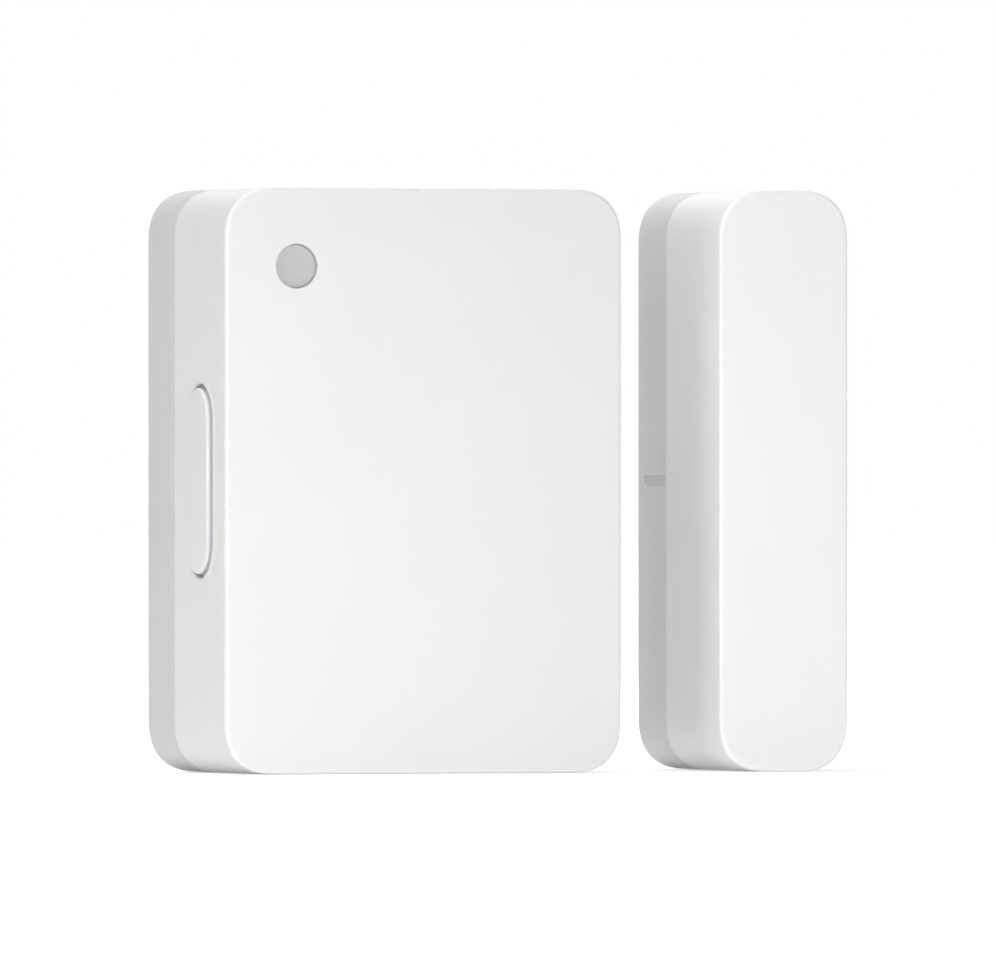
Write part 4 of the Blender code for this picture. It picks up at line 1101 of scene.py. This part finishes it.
def washer(x, z, r0, r1, y, thick, seg=48):
    return turned([(r0, y), (r1, y), (r1, y + thick), (r0, y + thick)], x, z, seg)


# -------------------------------------------------------------------- the board
pcb_cx = (P_LO.x + P_HI.x) / 2
pcb_w, pcb_h = P_HI.x - P_LO.x, P_HI.z - P_LO.z


def pcb_ring(inset, y):
    return y_ring(superellipse_outline(pcb_w - 2 * inset, pcb_h - 2 * inset, 2.4 - inset, 2.0, 10), pcb_cx, 0, y)


board = solid("circuit_board", loft([pcb_ring(0.04, PCB_FRONT_Y), pcb_ring(0.0, PCB_FRONT_Y + 0.04),
                                     pcb_ring(0.0, PCB_BACK_Y - 0.04), pcb_ring(0.04, PCB_BACK_Y)]))
for bx, bz in SCREWS:
    cut(board, turned([(0, PCB_FRONT_Y - 1), (0.9, PCB_FRONT_Y - 1), (0.9, PCB_BACK_Y + 1), (0, PCB_BACK_Y + 1)], bx, bz, 40))
VIAS = [(-12.4, 3.2), (-12.4, 6.0), (-9.6, 13.6), (-6.2, 15.4), (-3.4, 13.4), (4.6, 13.2), (8.2, 15.0), (13.2, 9.0),
        (13.2, -8.6), (9.0, -14.6), (5.0, -13.4), (-4.6, -13.8), (-8.4, -14.8), (-12.2, -11.4), (0.5, 17.4), (2.4, -18.6),
        (-2.6, -17.2), (6.8, -18.0), (-7.4, 19.2), (5.6, 19.4)]
for vx, vz in VIAS:
    cut(board, turned([(0, PCB_FRONT_Y - 1), (0.16, PCB_FRONT_Y - 1), (0.16, PCB_BACK_Y + 1), (0, PCB_BACK_Y + 1)], vx, vz, 10))
shade(board, weighted=False)
place(board, "sensor_unit", MAT_PCB, ["main_pcb"])

TH = 0.018
by, fy = PCB_BACK_Y - 0.002, PCB_FRONT_Y + 0.002 - TH
routes_back = [
    [(-12.4, 3.2), (-12.4, 6.0), (-12.4, 9.2), (-9.6, 12.0), (-9.6, 13.6)],
    [(-9.6, 13.6), (-7.8, 15.4), (-6.2, 15.4), (-3.4, 15.4), (-2.2, 14.2), (-0.6, 14.2)],
    [(-3.4, 13.4), (-3.4, 17.0), (-2.6, 17.8), (-0.2, 17.8), (0.5, 17.4)],
    [(1.6, 14.2), (3.6, 14.2), (4.6, 13.2)], [(4.6, 13.2), (6.4, 15.0), (8.2, 15.0), (9.4, 13.8), (11.2, 12.0), (12.4, 10.8), (13.2, 9.0)],
    [(13.2, 9.0), (13.4, 4.0), (13.4, -4.0), (13.2, -8.6)],
    [(13.2, -8.6), (12.0, -11.0), (9.0, -14.0), (9.0, -14.6)],
    [(9.0, -14.6), (7.8, -15.8), (3.2, -15.8), (2.4, -16.6), (2.4, -18.6)],
    [(5.0, -13.4), (3.4, -14.4), (-3.0, -14.4), (-4.6, -13.8)],
    [(-4.6, -13.8), (-5.6, -14.8), (-8.4, -14.8)], [(-8.4, -14.8), (-10.0, -13.2), (-12.2, -11.4)],
    [(-12.2, -11.4), (-13.2, -9.0), (-13.2, -2.0), (-12.4, 3.2)],
    [(-2.6, -17.2), (-1.4, -18.4), (0.4, -18.4), (2.4, -18.6)], [(6.8, -18.0), (8.4, -18.0), (10.6, -15.8), (13.0, -13.4), (13.2, -8.6)],
    [(-7.4, 19.2), (-4.0, 19.2), (-2.4, 19.6), (5.6, 19.4)], [(5.6, 19.4), (7.4, 17.6), (8.2, 15.0)],
]
routes_front = [
    [(-0.2, 3.6), (-0.2, 1.0), (-3.0, -1.8), (-3.0, -8.8)], [(5.2, 7.4), (6.4, 7.4)], [(2.0, 10.2), (2.0, 13.4)],
    [(2.0, 15.4), (2.0, 18.0)], [(5.2, 6.0), (7.4, 3.8), (7.4, 0.0)], [(7.4, -1.9), (9.8, -4.3), (12.9, -7.4)],
    [(-1.2, 8.6), (-2.3, 8.6)], [(-1.2, 5.6), (-2.3, 5.6)], [(5.2, 4.6), (11.0, 4.6), (12.9, 6.5)],
    [(-1.2, 7.2), (-5.4, 7.2), (-8.8, 3.8), (-8.8, 1.6)], [(-10.88, 15.2), (-7.2, 11.6), (-1.2, 9.6)],
]
traces = []
for route in routes_back:
    traces.append(ribbon(route, 0.30, by, TH))
for route in routes_front:
    traces.append(ribbon(route, 0.26, fy, TH))
rings_gold = []
for vx, vz in VIAS:
    rings_gold.append(washer(vx, vz, 0.17, 0.34, by, TH * 1.2, 16))
for bx, bz in SCREWS:
    rings_gold.append(washer(bx, bz, 0.92, 2.1, by, TH * 1.4, 48))
    rings_gold.append(washer(bx, bz, 0.92, 2.1, fy, TH * 0.9, 48))
for tx, tz in ((-9.0, 17.4), (-6.4, 17.4), (10.4, -12.4), (-5.6, -18.8), (-3.2, -19.6), (8.8, 17.8)):
    rings_gold.append(disc(tx, tz, 0.55, by, TH * 1.4, 28))
two_tone("board_copper", "sensor_unit", (), [(traces, MAT_TRACE), (rings_gold, MAT_GOLD)])

legend = [washer(CELL_X, CELL_Z, 11.78, 11.93, by, TH, 120)]
for cx, cz, h in ((CELL_X + 5.4, 13.4, 0.7),):
    legend.append(ribbon([(cx - h, cz), (cx + h, cz)], 0.2, by, TH))
    legend.append(ribbon([(cx, cz - h), (cx, cz + h)], 0.2, by, TH * 1.1))
legend.append(ribbon([(-8.4, 20.2), (-5.0, 20.2), (-5.0, 20.0)], 0.14, by, TH))
two_tone("board_legend", "sensor_unit", (), [(legend, MAT_SILK)])


# ------------------------------------------------------------ surface-mount parts
def box_of(node):
    lo, hi = box_mm(node)
    return lo.x, hi.x, lo.y, hi.y, lo.z, hi.z


def terminal_part(name, node, core_mat, along="x", ends=0.3, back=False, mark=None):
    x0, x1, y0, y1, z0, z1 = box_of(node)
    t = 0.025
    core = [block(x0 + t, x1 - t, y0 + t, y1 - 0.02, z0 + t, z1 - t, 0.05, 3)]
    caps = []
    if along == "x":
        caps.append(block(x0, x0 + ends, y0, y1, z0, z1, 0.06, 3))
        caps.append(block(x1 - ends, x1, y0, y1, z0, z1, 0.06, 3))
    else:
        caps.append(block(x0, x1, y0, y1, z0, z0 + ends, 0.06, 3))
        caps.append(block(x0, x1, y0, y1, z1 - ends, z1, 0.06, 3))
    groups = [(core, core_mat), (caps, MAT_TIN)]
    if mark:
        groups.append((mark, MAT_SILK))
    return two_tone(name, "sensor_unit", [node], groups)


terminal_part("ceramic_capacitor_a", "ceramic_capacitor_1", MAT_CERAMIC)
terminal_part("ceramic_capacitor_b", "ceramic_capacitor_2", MAT_CERAMIC)
terminal_part("inductor_chip", "antenna_inductor", MAT_CHIP, "z", 0.32)
terminal_part("resistor_chip", "pull_up_resistor", MAT_CHIP, "z", 0.28)

x0, x1, y0, y1, z0, z1 = box_of("chip_antenna")
meander = []
pts = []
step = (x1 - x0 - 1.6) / 9
for i in range(10):
    u = x0 + 0.8 + step * i
    v0, v1 = (z0 + 0.45, z1 - 0.45) if i % 2 == 0 else (z1 - 0.45, z0 + 0.45)
    pts += [(u, v0), (u, v1)]
meander.append(ribbon(pts, 0.16, y0, 0.02))
two_tone("antenna_chip", "sensor_unit", ["chip_antenna"], [
    ([block(x0 + 0.03, x1 - 0.03, y0 + 0.018, y1, z0 + 0.03, z1 - 0.03, 0.06, 3)], MAT_ANTENNA),
    ([block(x0, x0 + 0.45, y0 + 0.01, y1, z0, z1, 0.06, 3), block(x1 - 0.45, x1, y0 + 0.01, y1, z0, z1, 0.06, 3)] + meander, MAT_TIN)])

x0, x1, y0, y1, z0, z1 = box_of("tantalum_capacitor")
two_tone("tantalum_case", "sensor_unit", ["tantalum_capacitor"], [
    ([block(x0 + 0.15, x1 - 0.15, y0, y1 - 0.12, z0, z1, 0.14, 4)], MAT_TANTALUM),
    ([block(x0, x0 + 0.17, y0 + 0.75, y1, z0 + 0.5, z1 - 0.5, 0.04, 2), block(x1 - 0.17, x1, y0 + 0.75, y1, z0 + 0.5, z1 - 0.5, 0.04, 2),
      block(x0, x0 + 0.8, y1 - 0.13, y1, z0 + 0.5, z1 - 0.5, 0.03, 2), block(x1 - 0.8, x1, y1 - 0.13, y1, z0 + 0.5, z1 - 0.5, 0.03, 2)], MAT_TIN),
    ([block(x0 + 0.32, x0 + 0.72, y0 - 0.0, y0 + 0.03, z0 + 0.18, z1 - 0.18)], MAT_CHIP)])

x0, x1, y0, y1, z0, z1 = box_of("wireless_soc")
pads = []
for i in range(8):
    c = -2.1 + 0.6 * i
    mx, mz = (x0 + x1) / 2, (z0 + z1) / 2
    pads.append(block(mx + c - 0.13, mx + c + 0.13, y1 - 0.2, y1, z0 - 0.0, z0 + 0.3, 0.02, 1))
    pads.append(block(mx + c - 0.13, mx + c + 0.13, y1 - 0.2, y1, z1 - 0.3, z1 + 0.0, 0.02, 1))
    pads.append(block(x0 - 0.0, x0 + 0.3, y1 - 0.2, y1, mz + c - 0.13, mz + c + 0.13, 0.02, 1))
    pads.append(block(x1 - 0.3, x1 + 0.0, y1 - 0.2, y1, mz + c - 0.13, mz + c + 0.13, 0.02, 1))
two_tone("radio_chip", "sensor_unit", ["wireless_soc"], [
    ([block(x0 + 0.02, x1 - 0.02, y0, y1 - 0.03, z0 + 0.02, z1 - 0.02, 0.05, 3)], MAT_CHIP),
    (pads, MAT_TIN),
    ([washer(x0 + 0.8, z1 - 0.8, 0.18, 0.30, y0 - 0.004, 0.02, 24)], MAT_HOLDER)])

x0, x1, y0, y1, z0, z1 = box_of("crystal_oscillator")
two_tone("crystal_can", "sensor_unit", ["crystal_oscillator"], [
    ([block(x0 + 0.16, x1 - 0.16, y0, y1 - 0.1, z0 + 0.16, z1 - 0.16, 0.08, 3)], MAT_STEEL),
    ([block(x0, x1, y0 + 0.22, y1, z0, z1, 0.05, 2)], MAT_CERAMIC)])

for piece, node in (("indicator_led", "status_led"), ("ambient_sensor", "light_sensor")):
    x0, x1, y0, y1, z0, z1 = box_of(node)
    two_tone(piece, "sensor_unit", [node], [
        ([block(x0 + 0.28, x1 - 0.28, y0, y1 - 0.2, z0 + 0.03, z1 - 0.03, 0.07, 3)], MAT_EPOXY),
        ([block(x0 + 0.02, x1 - 0.02, y1 - 0.24, y1 - 0.01, z0 + 0.01, z1 - 0.01, 0.03, 2)], MAT_ANTENNA),
        ([block(x0, x0 + 0.26, y1 - 0.27, y1, z0 + 0.05, z1 - 0.05, 0.03, 2), block(x1 - 0.26, x1, y1 - 0.27, y1, z0 + 0.05, z1 - 0.05, 0.03, 2)], MAT_GOLD)])


# --------------------------------------------------------------------- the cell
R = CELL_REAR_Y
can_profile = [(0, R - 0.03), (8.9, R - 0.03), (9.2, R)] + [
    (CELL_R - 0.42 + 0.42 * math.sin(t), R - 0.42 * (1 - math.cos(t))) for t in arc(7)] + [
    (CELL_R, R - 2.70)] + [
    (CELL_R - 0.25 * (1 - math.cos(t)), R - 2.72 - 0.25 * math.sin(t)) for t in arc(4)[1:]] + [
    (9.10, R - 3.0), (9.05, R - 2.97), (9.05, R - 2.84), (9.62, R - 2.75), (9.70, R - 2.65), (9.70, R - 0.30), (0, R - 0.30)]
can = solid("cell_can", turned(can_profile, CELL_X, CELL_Z, 128))
for a0 in (0.0, math.pi / 2):
    plus = block(-1.5, 1.5, R - 0.09, R + 0.5, -0.22, 0.22)
    bmesh.ops.rotate(plus, verts=plus.verts, cent=(0, 0, 0), matrix=Matrix.Rotation(a0, 3, "Y"))
    bmesh.ops.translate(plus, verts=plus.verts, vec=(CELL_X, 0, CELL_Z + 6.3))
    cut(can, plus)
shade(can)
place(can, "coin_cell", MAT_CELL, ["coin_cell_can"])

gasket = solid("cell_gasket", turned(
    [(8.65, R - 3.02), (8.70, R - 3.07), (8.93, R - 3.07), (8.98, R - 3.02), (8.98, R - 2.79),
     (9.60, R - 2.71), (9.60, R - 0.36), (9.20, R - 0.36), (9.20, R - 2.40), (8.65, R - 2.60)], CELL_X, CELL_Z, 128))
shade(gasket)
place(gasket, "coin_cell", MAT_GASKET, ["coin_cell_gasket"])

F = CELL_FRONT_Y
cap = solid("cell_cap", turned(
    [(0, F), (7.7, F)] + [(7.8 + 0.36 * math.sin(t), F + 0.16 * (1 - math.cos(t))) for t in arc(6)] +
    [(8.42, R - 3.05), (8.58, R - 2.80), (8.58, R - 2.50), (9.10, R - 2.30), (9.10, R - 0.40), (0, R - 0.40)],
    CELL_X, CELL_Z, 128))
shade(cap)
place(cap, "coin_cell", MAT_CAP, ["coin_cell_cap"])


# ------------------------------------------------------------------- the holder
hb = PCB_BACK_Y + 0.02
ht = CELL_REAR_Y - 0.8
holder = solid("cell_holder", turned(
    [(6.86, hb), (11.35, hb), (11.4, hb + 0.05), (11.4, ht - 0.30), (11.36, ht - 0.14), (11.24, ht - 0.03), (11.10, ht),
     (10.42, ht), (10.30, ht - 0.04), (10.15, ht - 0.25), (10.15, hb + 0.70), (10.10, hb + 0.60), (9.98, hb + 0.55),
     (6.90, hb + 0.55), (6.82, hb + 0.50), (6.80, hb + 0.06)], CELL_X, CELL_Z, 128))
slot_top = block(CELL_X - 3.6, CELL_X + 3.6, hb - 1, CELL_REAR_Y, CELL_Z + 9.0, CELL_Z + 14.0, 0.25, 3)
cut(holder, slot_top)
cut(holder, block(CELL_X - 4.5, CELL_X + 4.5, hb + 1.0, CELL_REAR_Y + 1, CELL_Z - 14.0, CELL_Z - 9.0, 0.5, 4))
for k in range(10):
    # shallow ejector and grip marks round the wall's outside
    a = math.radians(18 + 36 * k)
    g = block(11.28, 11.8, hb + 0.7, ht - 0.55, -0.55, 0.55, 0.08, 2)
    bmesh.ops.rotate(g, verts=g.verts, cent=(0, 0, 0), matrix=Matrix.Rotation(a, 3, "Y"))
    bmesh.ops.translate(g, verts=g.verts, vec=(CELL_X, 0, CELL_Z))
    cut(holder, g)
shade(holder)
place(holder, "sensor_unit", MAT_HOLDER, ["battery_holder"])


def bent_strip(path, thickness, width, place_point, radius=0.25, edge=0.04):
    """Sheet metal bent along path, with rounded bends and broken long edges."""
    pts = [Vector(p) for p in path]
    smooth = [pts[0]]
    for i in range(1, len(pts) - 1):
        a, p, b = pts[i - 1], pts[i], pts[i + 1]
        la, lb = (a - p).length, (b - p).length
        d = min(radius, la * 0.45, lb * 0.45)
        s, e = p + (a - p).normalized() * d, p + (b - p).normalized() * d
        for k in range(6):
            t = k / 5
            smooth.append(s * (1 - t) ** 2 + p * 2 * t * (1 - t) + e * t * t)
    smooth.append(pts[-1])
    rows = []
    h, w = thickness / 2, width / 2
    section = [(-h, -w + edge), (-h + edge, -w), (h - edge, -w), (h, -w + edge), (h, w - edge), (h - edge, w), (-h + edge, w), (-h, w - edge)]
    for i, p in enumerate(smooth):
        a = smooth[max(i - 1, 0)]
        b = smooth[min(i + 1, len(smooth) - 1)]
        d = (b - a).normalized()
        n = Vector((-d.y, d.x))
        rows.append([place_point(*(p + n * s), v) for s, v in section])
    return loft(rows)


clip_path = [
    (CELL_Z + 10.75, CELL_REAR_Y - 0.2), (CELL_Z + 10.42, CELL_REAR_Y - 0.65),
    (CELL_Z + 10.17, CELL_REAR_Y - 1.15), (CELL_Z + 10.17, CELL_FRONT_Y - 0.15),
    (CELL_Z + 10.6, hb + 0.14), (CELL_Z + 13.6, hb + 0.14),
]
clip = solid("positive_clip", bent_strip(clip_path, 0.24, 6.6, lambda u, v, w: (CELL_X + w, v, u)))
cut(clip, block(CELL_X - 0.4, CELL_X + 0.4, CELL_REAR_Y - 2.6, CELL_REAR_Y + 1, CELL_Z + 9.5, CELL_Z + 11.2, 0.15, 3))
cut(clip, turned([(0, hb - 1), (0.5, hb - 1), (0.5, hb + 1), (0, hb + 1)], CELL_X - 2.2, CELL_Z + 12.4, 28))
cut(clip, turned([(0, hb - 1), (0.5, hb - 1), (0.5, hb + 1), (0, hb + 1)], CELL_X + 2.2, CELL_Z + 12.4, 28))
shade(clip)
place(clip, "sensor_unit", MAT_CLIP, ["battery_positive_clip"])

spring_path = [
    (-6.0, hb + 0.13), (-4.0, hb + 0.13), (-2.2, CELL_FRONT_Y - 0.37),
    (0.0, CELL_FRONT_Y - 0.18), (2.2, CELL_FRONT_Y - 0.37), (3.2, CELL_FRONT_Y - 0.55),
]
spring = solid("negative_spring", bent_strip(spring_path, 0.22, 2.6, lambda u, v, w: (CELL_X + u, v, CELL_Z + w), 0.8))
cut(spring, block(CELL_X - 2.9, CELL_X + 3.4, hb - 1, CELL_FRONT_Y + 1, CELL_Z - 0.18, CELL_Z + 0.18, 0.05, 2))
shade(spring)
place(spring, "sensor_unit", MAT_GOLD, ["battery_negative_spring"])


# ------------------------------------------------------------------- the screws
for number, (bx, bz) in enumerate(SCREWS, 1):
    top = PCB_BACK_Y + 0.05
    profile = [(0, top - 5.1), (0.10, top - 5.08), (0.25, top - 4.9), (0.50, top - 4.45)]
    y = top - 4.3
    while y < top - 1.1:
        # thread crests
        profile += [(0.50, y), (0.60, y + 0.09), (0.60, y + 0.12), (0.50, y + 0.21)]
        y += 0.36
    profile += [(0.56, top - 0.9), (0.58, top - 0.02), (1.42, top), (1.5, top + 0.06), (1.5, top + 0.42)]
    profile += [(1.5 - 0.42 * (1 - math.cos(t)), top + 0.42 + 0.43 * math.sin(t)) for t in arc(6)[1:]]
    profile += [(0, top + 0.85)]
    screw = solid("board_screw_%d" % number, turned(profile, bx, bz, 48))
    for k in (0, 1):
        recess = bmesh.new()
        lo_y, hi_y = top + 0.36, top + 1.2
        rows = []
        for yy, a, b in ((lo_y, 0.42, 0.10), (hi_y, 0.98, 0.18)):
            rows.append([(-a, yy, -b), (a, yy, -b), (a, yy, b), (-a, yy, b)])
        recess = loft(rows)
        bmesh.ops.rotate(recess, verts=recess.verts, cent=(0, 0, 0), matrix=Matrix.Rotation(math.pi / 2 * k + 0.4 * number, 3, "Y"))
        bmesh.ops.translate(recess, verts=recess.verts, vec=(bx, 0, bz))
        cut(screw, recess)
    shade(screw)
    place(screw, "sensor_unit", MAT_STEEL, ["pcb_screw_%d" % number])


# -------------------------------------------- switch, reed, sleeve: fine pieces
x0, x1, y0, y1, z0, z1 = box_of("tact_switch_body")
sw = solid("side_switch_body", block(x0, x1, y0, y1, z0, z1, 0.12, 3))
bore = circle_outline(0.92, 40)
cut(sw, loft([x_ring(bore, x0 - 1, BUTTON_Y, 0), x_ring(bore, x0 + 1.6, BUTTON_Y, 0)]))
shade(sw)
place(sw, "sensor_unit", MAT_CHIP, ["tact_switch_body"])

x, px1, py0, py1, pz0, pz1 = box_of("switch_plunger")
pr = 0.80
rows = []
for xx, rr in ((x, 0.45), (x + 0.03, 0.55), (x + 0.10, 0.70), (x + 0.16, 0.78), (x + 0.24, 0.80), (px1 - 0.05, 0.80), (px1, 0.76)):
    rows.append(x_ring(circle_outline(rr, 40), xx, BUTTON_Y, 0))
plunger = solid("plunger_pin", loft(rows))
shade(plunger)
place(plunger, "switch_plunger", MAT_PLUNGER, ["switch_plunger"])

x0, x1, y0, y1, z0, z1 = box_of("light_sleeve")
sleeve_r = (x1 - x0) / 2
sleeve = solid("light_tube", turned(
    [(1.75, y0 + 0.05), (1.85, y0), (sleeve_r - 0.1, y0), (sleeve_r, y0 + 0.1), (sleeve_r, (y0 + y1) / 2 - 0.5),
     (sleeve_r - 0.12, (y0 + y1) / 2 - 0.3), (sleeve_r - 0.12, (y0 + y1) / 2 + 0.3), (sleeve_r, (y0 + y1) / 2 + 0.5),
     (sleeve_r, y1 - 0.1), (sleeve_r - 0.1, y1), (1.85, y1), (1.75, y1 - 0.05)], WINDOW_X, WINDOW_Z, 64))
shade(sleeve)
place(sleeve, "sensor_unit", MAT_SLEEVE, ["light_sleeve"])

# ------------------------------------------------------------- magnet, its holds
x0, x1, y0, y1, z0, z1 = box_of("bar_magnet")
bar = solid("plated_bar_magnet", block(x0, x1, y0, y1, z0, z1, 0.35, 5))
shade(bar)
place(bar, "magnet_unit", MAT_NICKEL, ["bar_magnet"])
cx0, cx1, cy0, cy1, cz0, cz1 = box_of("magnet_cradle")
cradle = solid("cradle_frame", block(cx0, cx1, cy0, cy1, cz0, cz1, 0.22, 3))
cut(cradle, block(x0 - 0.06, x1 + 0.06, y0 - 0.06, cy1 + 3, z0 - 0.06, z1 + 0.06))
for zz in (-9.0, 0.0, 9.0):
    cut(cradle, block(cx0 - 1, cx1 + 1, cy1 - 0.7, cy1 + 1, zz - 1.1, zz + 1.1, 0.3, 3))
shade(cradle)
place(cradle, "magnet_unit", MAT_CRADLE, ["magnet_cradle"])

x0, x1, y0, y1, z0, z1 = box_of("magnet_foam_strip")
rows = []
for inset, t in ((1.2, 0.0), (0.35, 0.0), (0.12, 0.03), (0.02, 0.12), (0.0, 0.3), (0.05, 0.5), (0.0, 0.7), (0.02, 0.88), (0.12, 0.97), (0.35, 1.0), (1.2, 1.0)):
    o = superellipse_outline(x1 - x0 - 2 * inset, z1 - z0 - 2 * inset, max(0.75 - inset * 0.5, 0.3), 2.2, 8)
    rows.append(y_ring(o, (x0 + x1) / 2, 0, y0 + (y1 - y0) * t))
strip_foam = solid("soft_foam_strip", loft(rows))
shade(strip_foam)
place(strip_foam, "magnet_unit", MAT_FOAM, ["magnet_foam_strip"])

# --------------------- solids whose own shape is right take only a new surface
for node, mat in (("tact_switch_bracket", MAT_STEEL), ("reed_switch_glass", MAT_GLASS),
                  ("reed_blade_upper", MAT_STEEL), ("reed_blade_lower", MAT_STEEL)):
    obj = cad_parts[node]
    obj.data.materials.clear()
    obj.data.materials.append(mat)


# ============================================================ camera and light
def look(obj, target):
    direction = Vector(target) - obj.location
    obj.rotation_euler = direction.to_track_quat("-Z", "Y").to_euler()


YAW = math.radians(20.8)
cam_data = bpy.data.cameras.new("camera")
cam_data.sensor_width = 36.0
cam_data.sensor_fit = "HORIZONTAL"
cam_data.lens = 20101 * 36.0 / 996
cam_data.clip_start, cam_data.clip_end = 0.1, 20.0
cam = bpy.data.objects.new("camera", cam_data)
cam.location = (-0.5678, -1.5303, 0.0)
bpy.context.scene.collection.objects.link(cam)
cam.rotation_euler = (math.pi / 2, 0.0, -YAW)
bpy.context.scene.camera = cam


def area(name, location, target, size, energy, color=(1, 1, 1), shape="RECTANGLE", size_y=None):
    data = bpy.data.lights.new(name, "AREA")
    data.shape = shape
    data.size = size
    data.size_y = size_y or size
    data.energy = energy
    data.color = color
    obj = bpy.data.objects.new(name, data)
    obj.location = location
    bpy.context.scene.collection.objects.link(obj)
    look(obj, target)
    return obj


WORLD_LIGHT = 0.135
WORLD_LEFT = 0.207
WORLD_UP = 0.166
WORLD_FRONT = 0.184
KEY_W = 0.0088
EDGE_W = 0.360
FILL_W = 1.62
TOP_W = 1.38
BACK_W = 0.8
FLOOR_LIGHT = 0.123

if KEY_W:
    # a narrow soft beam on the sensor's left half
    key = area("key_light", (-0.105, -0.300, 0.010), (-0.022, -0.019, -0.013), 0.05, KEY_W)
    key.data.spread = math.radians(34)
if EDGE_W:
    # a tall strip at the side draws the bright line along the front edges
    area("edge_light", (-0.42, -0.19, 0.185), (-0.017, -0.019, 0.0), 0.14, EDGE_W, size_y=0.40)
if FILL_W:
    area("fill_light", (-0.03, -0.85, 0.26), (0.01, 0, 0), 0.5, FILL_W)
if TOP_W:
    area("top_light", (-0.08, 0.12, 0.50), (0, 0, 0), 0.40, TOP_W)
if BACK_W:
    area("back_light", (0.18, 0.60, 0.34), (0, 0, 0), 0.45, BACK_W)

world = bpy.data.worlds.new("studio")
bpy.context.scene.world = world
world.use_nodes = True
wt = world.node_tree
for n in list(wt.nodes):
    wt.nodes.remove(n)
out = wt.nodes.new("ShaderNodeOutputWorld")
lit = wt.nodes.new("ShaderNodeBackground")
lit.inputs["Color"].default_value = (1, 1, 1, 1)
seen = wt.nodes.new("ShaderNodeBackground")
seen.inputs["Color"].default_value = (1, 1, 1, 1)
seen.inputs["Strength"].default_value = 1.0
mixer = wt.nodes.new("ShaderNodeMixShader")
path = wt.nodes.new("ShaderNodeLightPath")
wt.links.new(path.outputs["Is Camera Ray"], mixer.inputs[0])
wt.links.new(lit.outputs[0], mixer.inputs[1])
wt.links.new(seen.outputs[0], mixer.inputs[2])
wt.links.new(mixer.outputs[0], out.inputs["Surface"])
# a soft room: a little more comes from some sides than from others
sky = wt.nodes.new("ShaderNodeTexCoord")
axes = wt.nodes.new("ShaderNodeSeparateXYZ")
wt.links.new(sky.outputs["Generated"], axes.inputs[0])
total = None
for axis, sign, amount in ((0, -1, WORLD_LEFT), (2, 1, WORLD_UP), (1, -1, WORLD_FRONT)):
    side = wt.nodes.new("ShaderNodeMath")
    side.operation = "MULTIPLY"
    side.use_clamp = True
    side.inputs[1].default_value = sign
    wt.links.new(axes.outputs[axis], side.inputs[0])
    part = wt.nodes.new("ShaderNodeMath")
    part.operation = "MULTIPLY_ADD"
    part.inputs[1].default_value = amount
    part.inputs[2].default_value = WORLD_LIGHT
    wt.links.new(side.outputs[0], part.inputs[0])
    if total is not None:
        wt.links.new(total, part.inputs[2])
    total = part.outputs[0]
wt.links.new(total, lit.inputs["Strength"])

# the floor brightens to white away from the object, and keeps its soft contact shadow
FLOOR_GLOW = 0.62
floor_mat = Nodes("pale_floor")
floor_mat.color(floor_mat.mix(floor_mat.range(floor_mat.noise(8, 3), 0.3, 0.7, 0, 1), (0.93, 0.93, 0.93), (0.95, 0.95, 0.95)))
floor_mat.rough(0.9)
floor_mat.fixed(spec=0.1)
floor_path = floor_mat.node("ShaderNodeLightPath")
floor_mat.bsdf.inputs["Emission Color"].default_value = (1, 1, 1, 1)
away = floor_mat.node("ShaderNodeVectorMath", operation="LENGTH")
floor_mat.link(floor_mat.pos, away.inputs[0])
glow = floor_mat.range(away.outputs["Value"], 0.030, 0.13, 0.22, FLOOR_GLOW, True)
floor_mat.link(floor_mat.math("MULTIPLY_ADD", floor_path.outputs["Is Camera Ray"], glow, FLOOR_LIGHT),
               floor_mat.bsdf.inputs["Emission Strength"])
bm = bmesh.new()
bmesh.ops.create_circle(bm, cap_ends=True, radius=6.0, segments=96)
mesh = bpy.data.meshes.new("floor")
bm.to_mesh(mesh)
bm.free()
floor = bpy.data.objects.new("floor", mesh)
floor.location = (0, 0, FLOOR_Z * MM - 0.00002)
bpy.context.scene.collection.objects.link(floor)
mesh.materials.append(floor_mat.mat)

bpy.context.scene.view_settings.view_transform = "Standard"
bpy.context.scene.view_settings.look = "None"
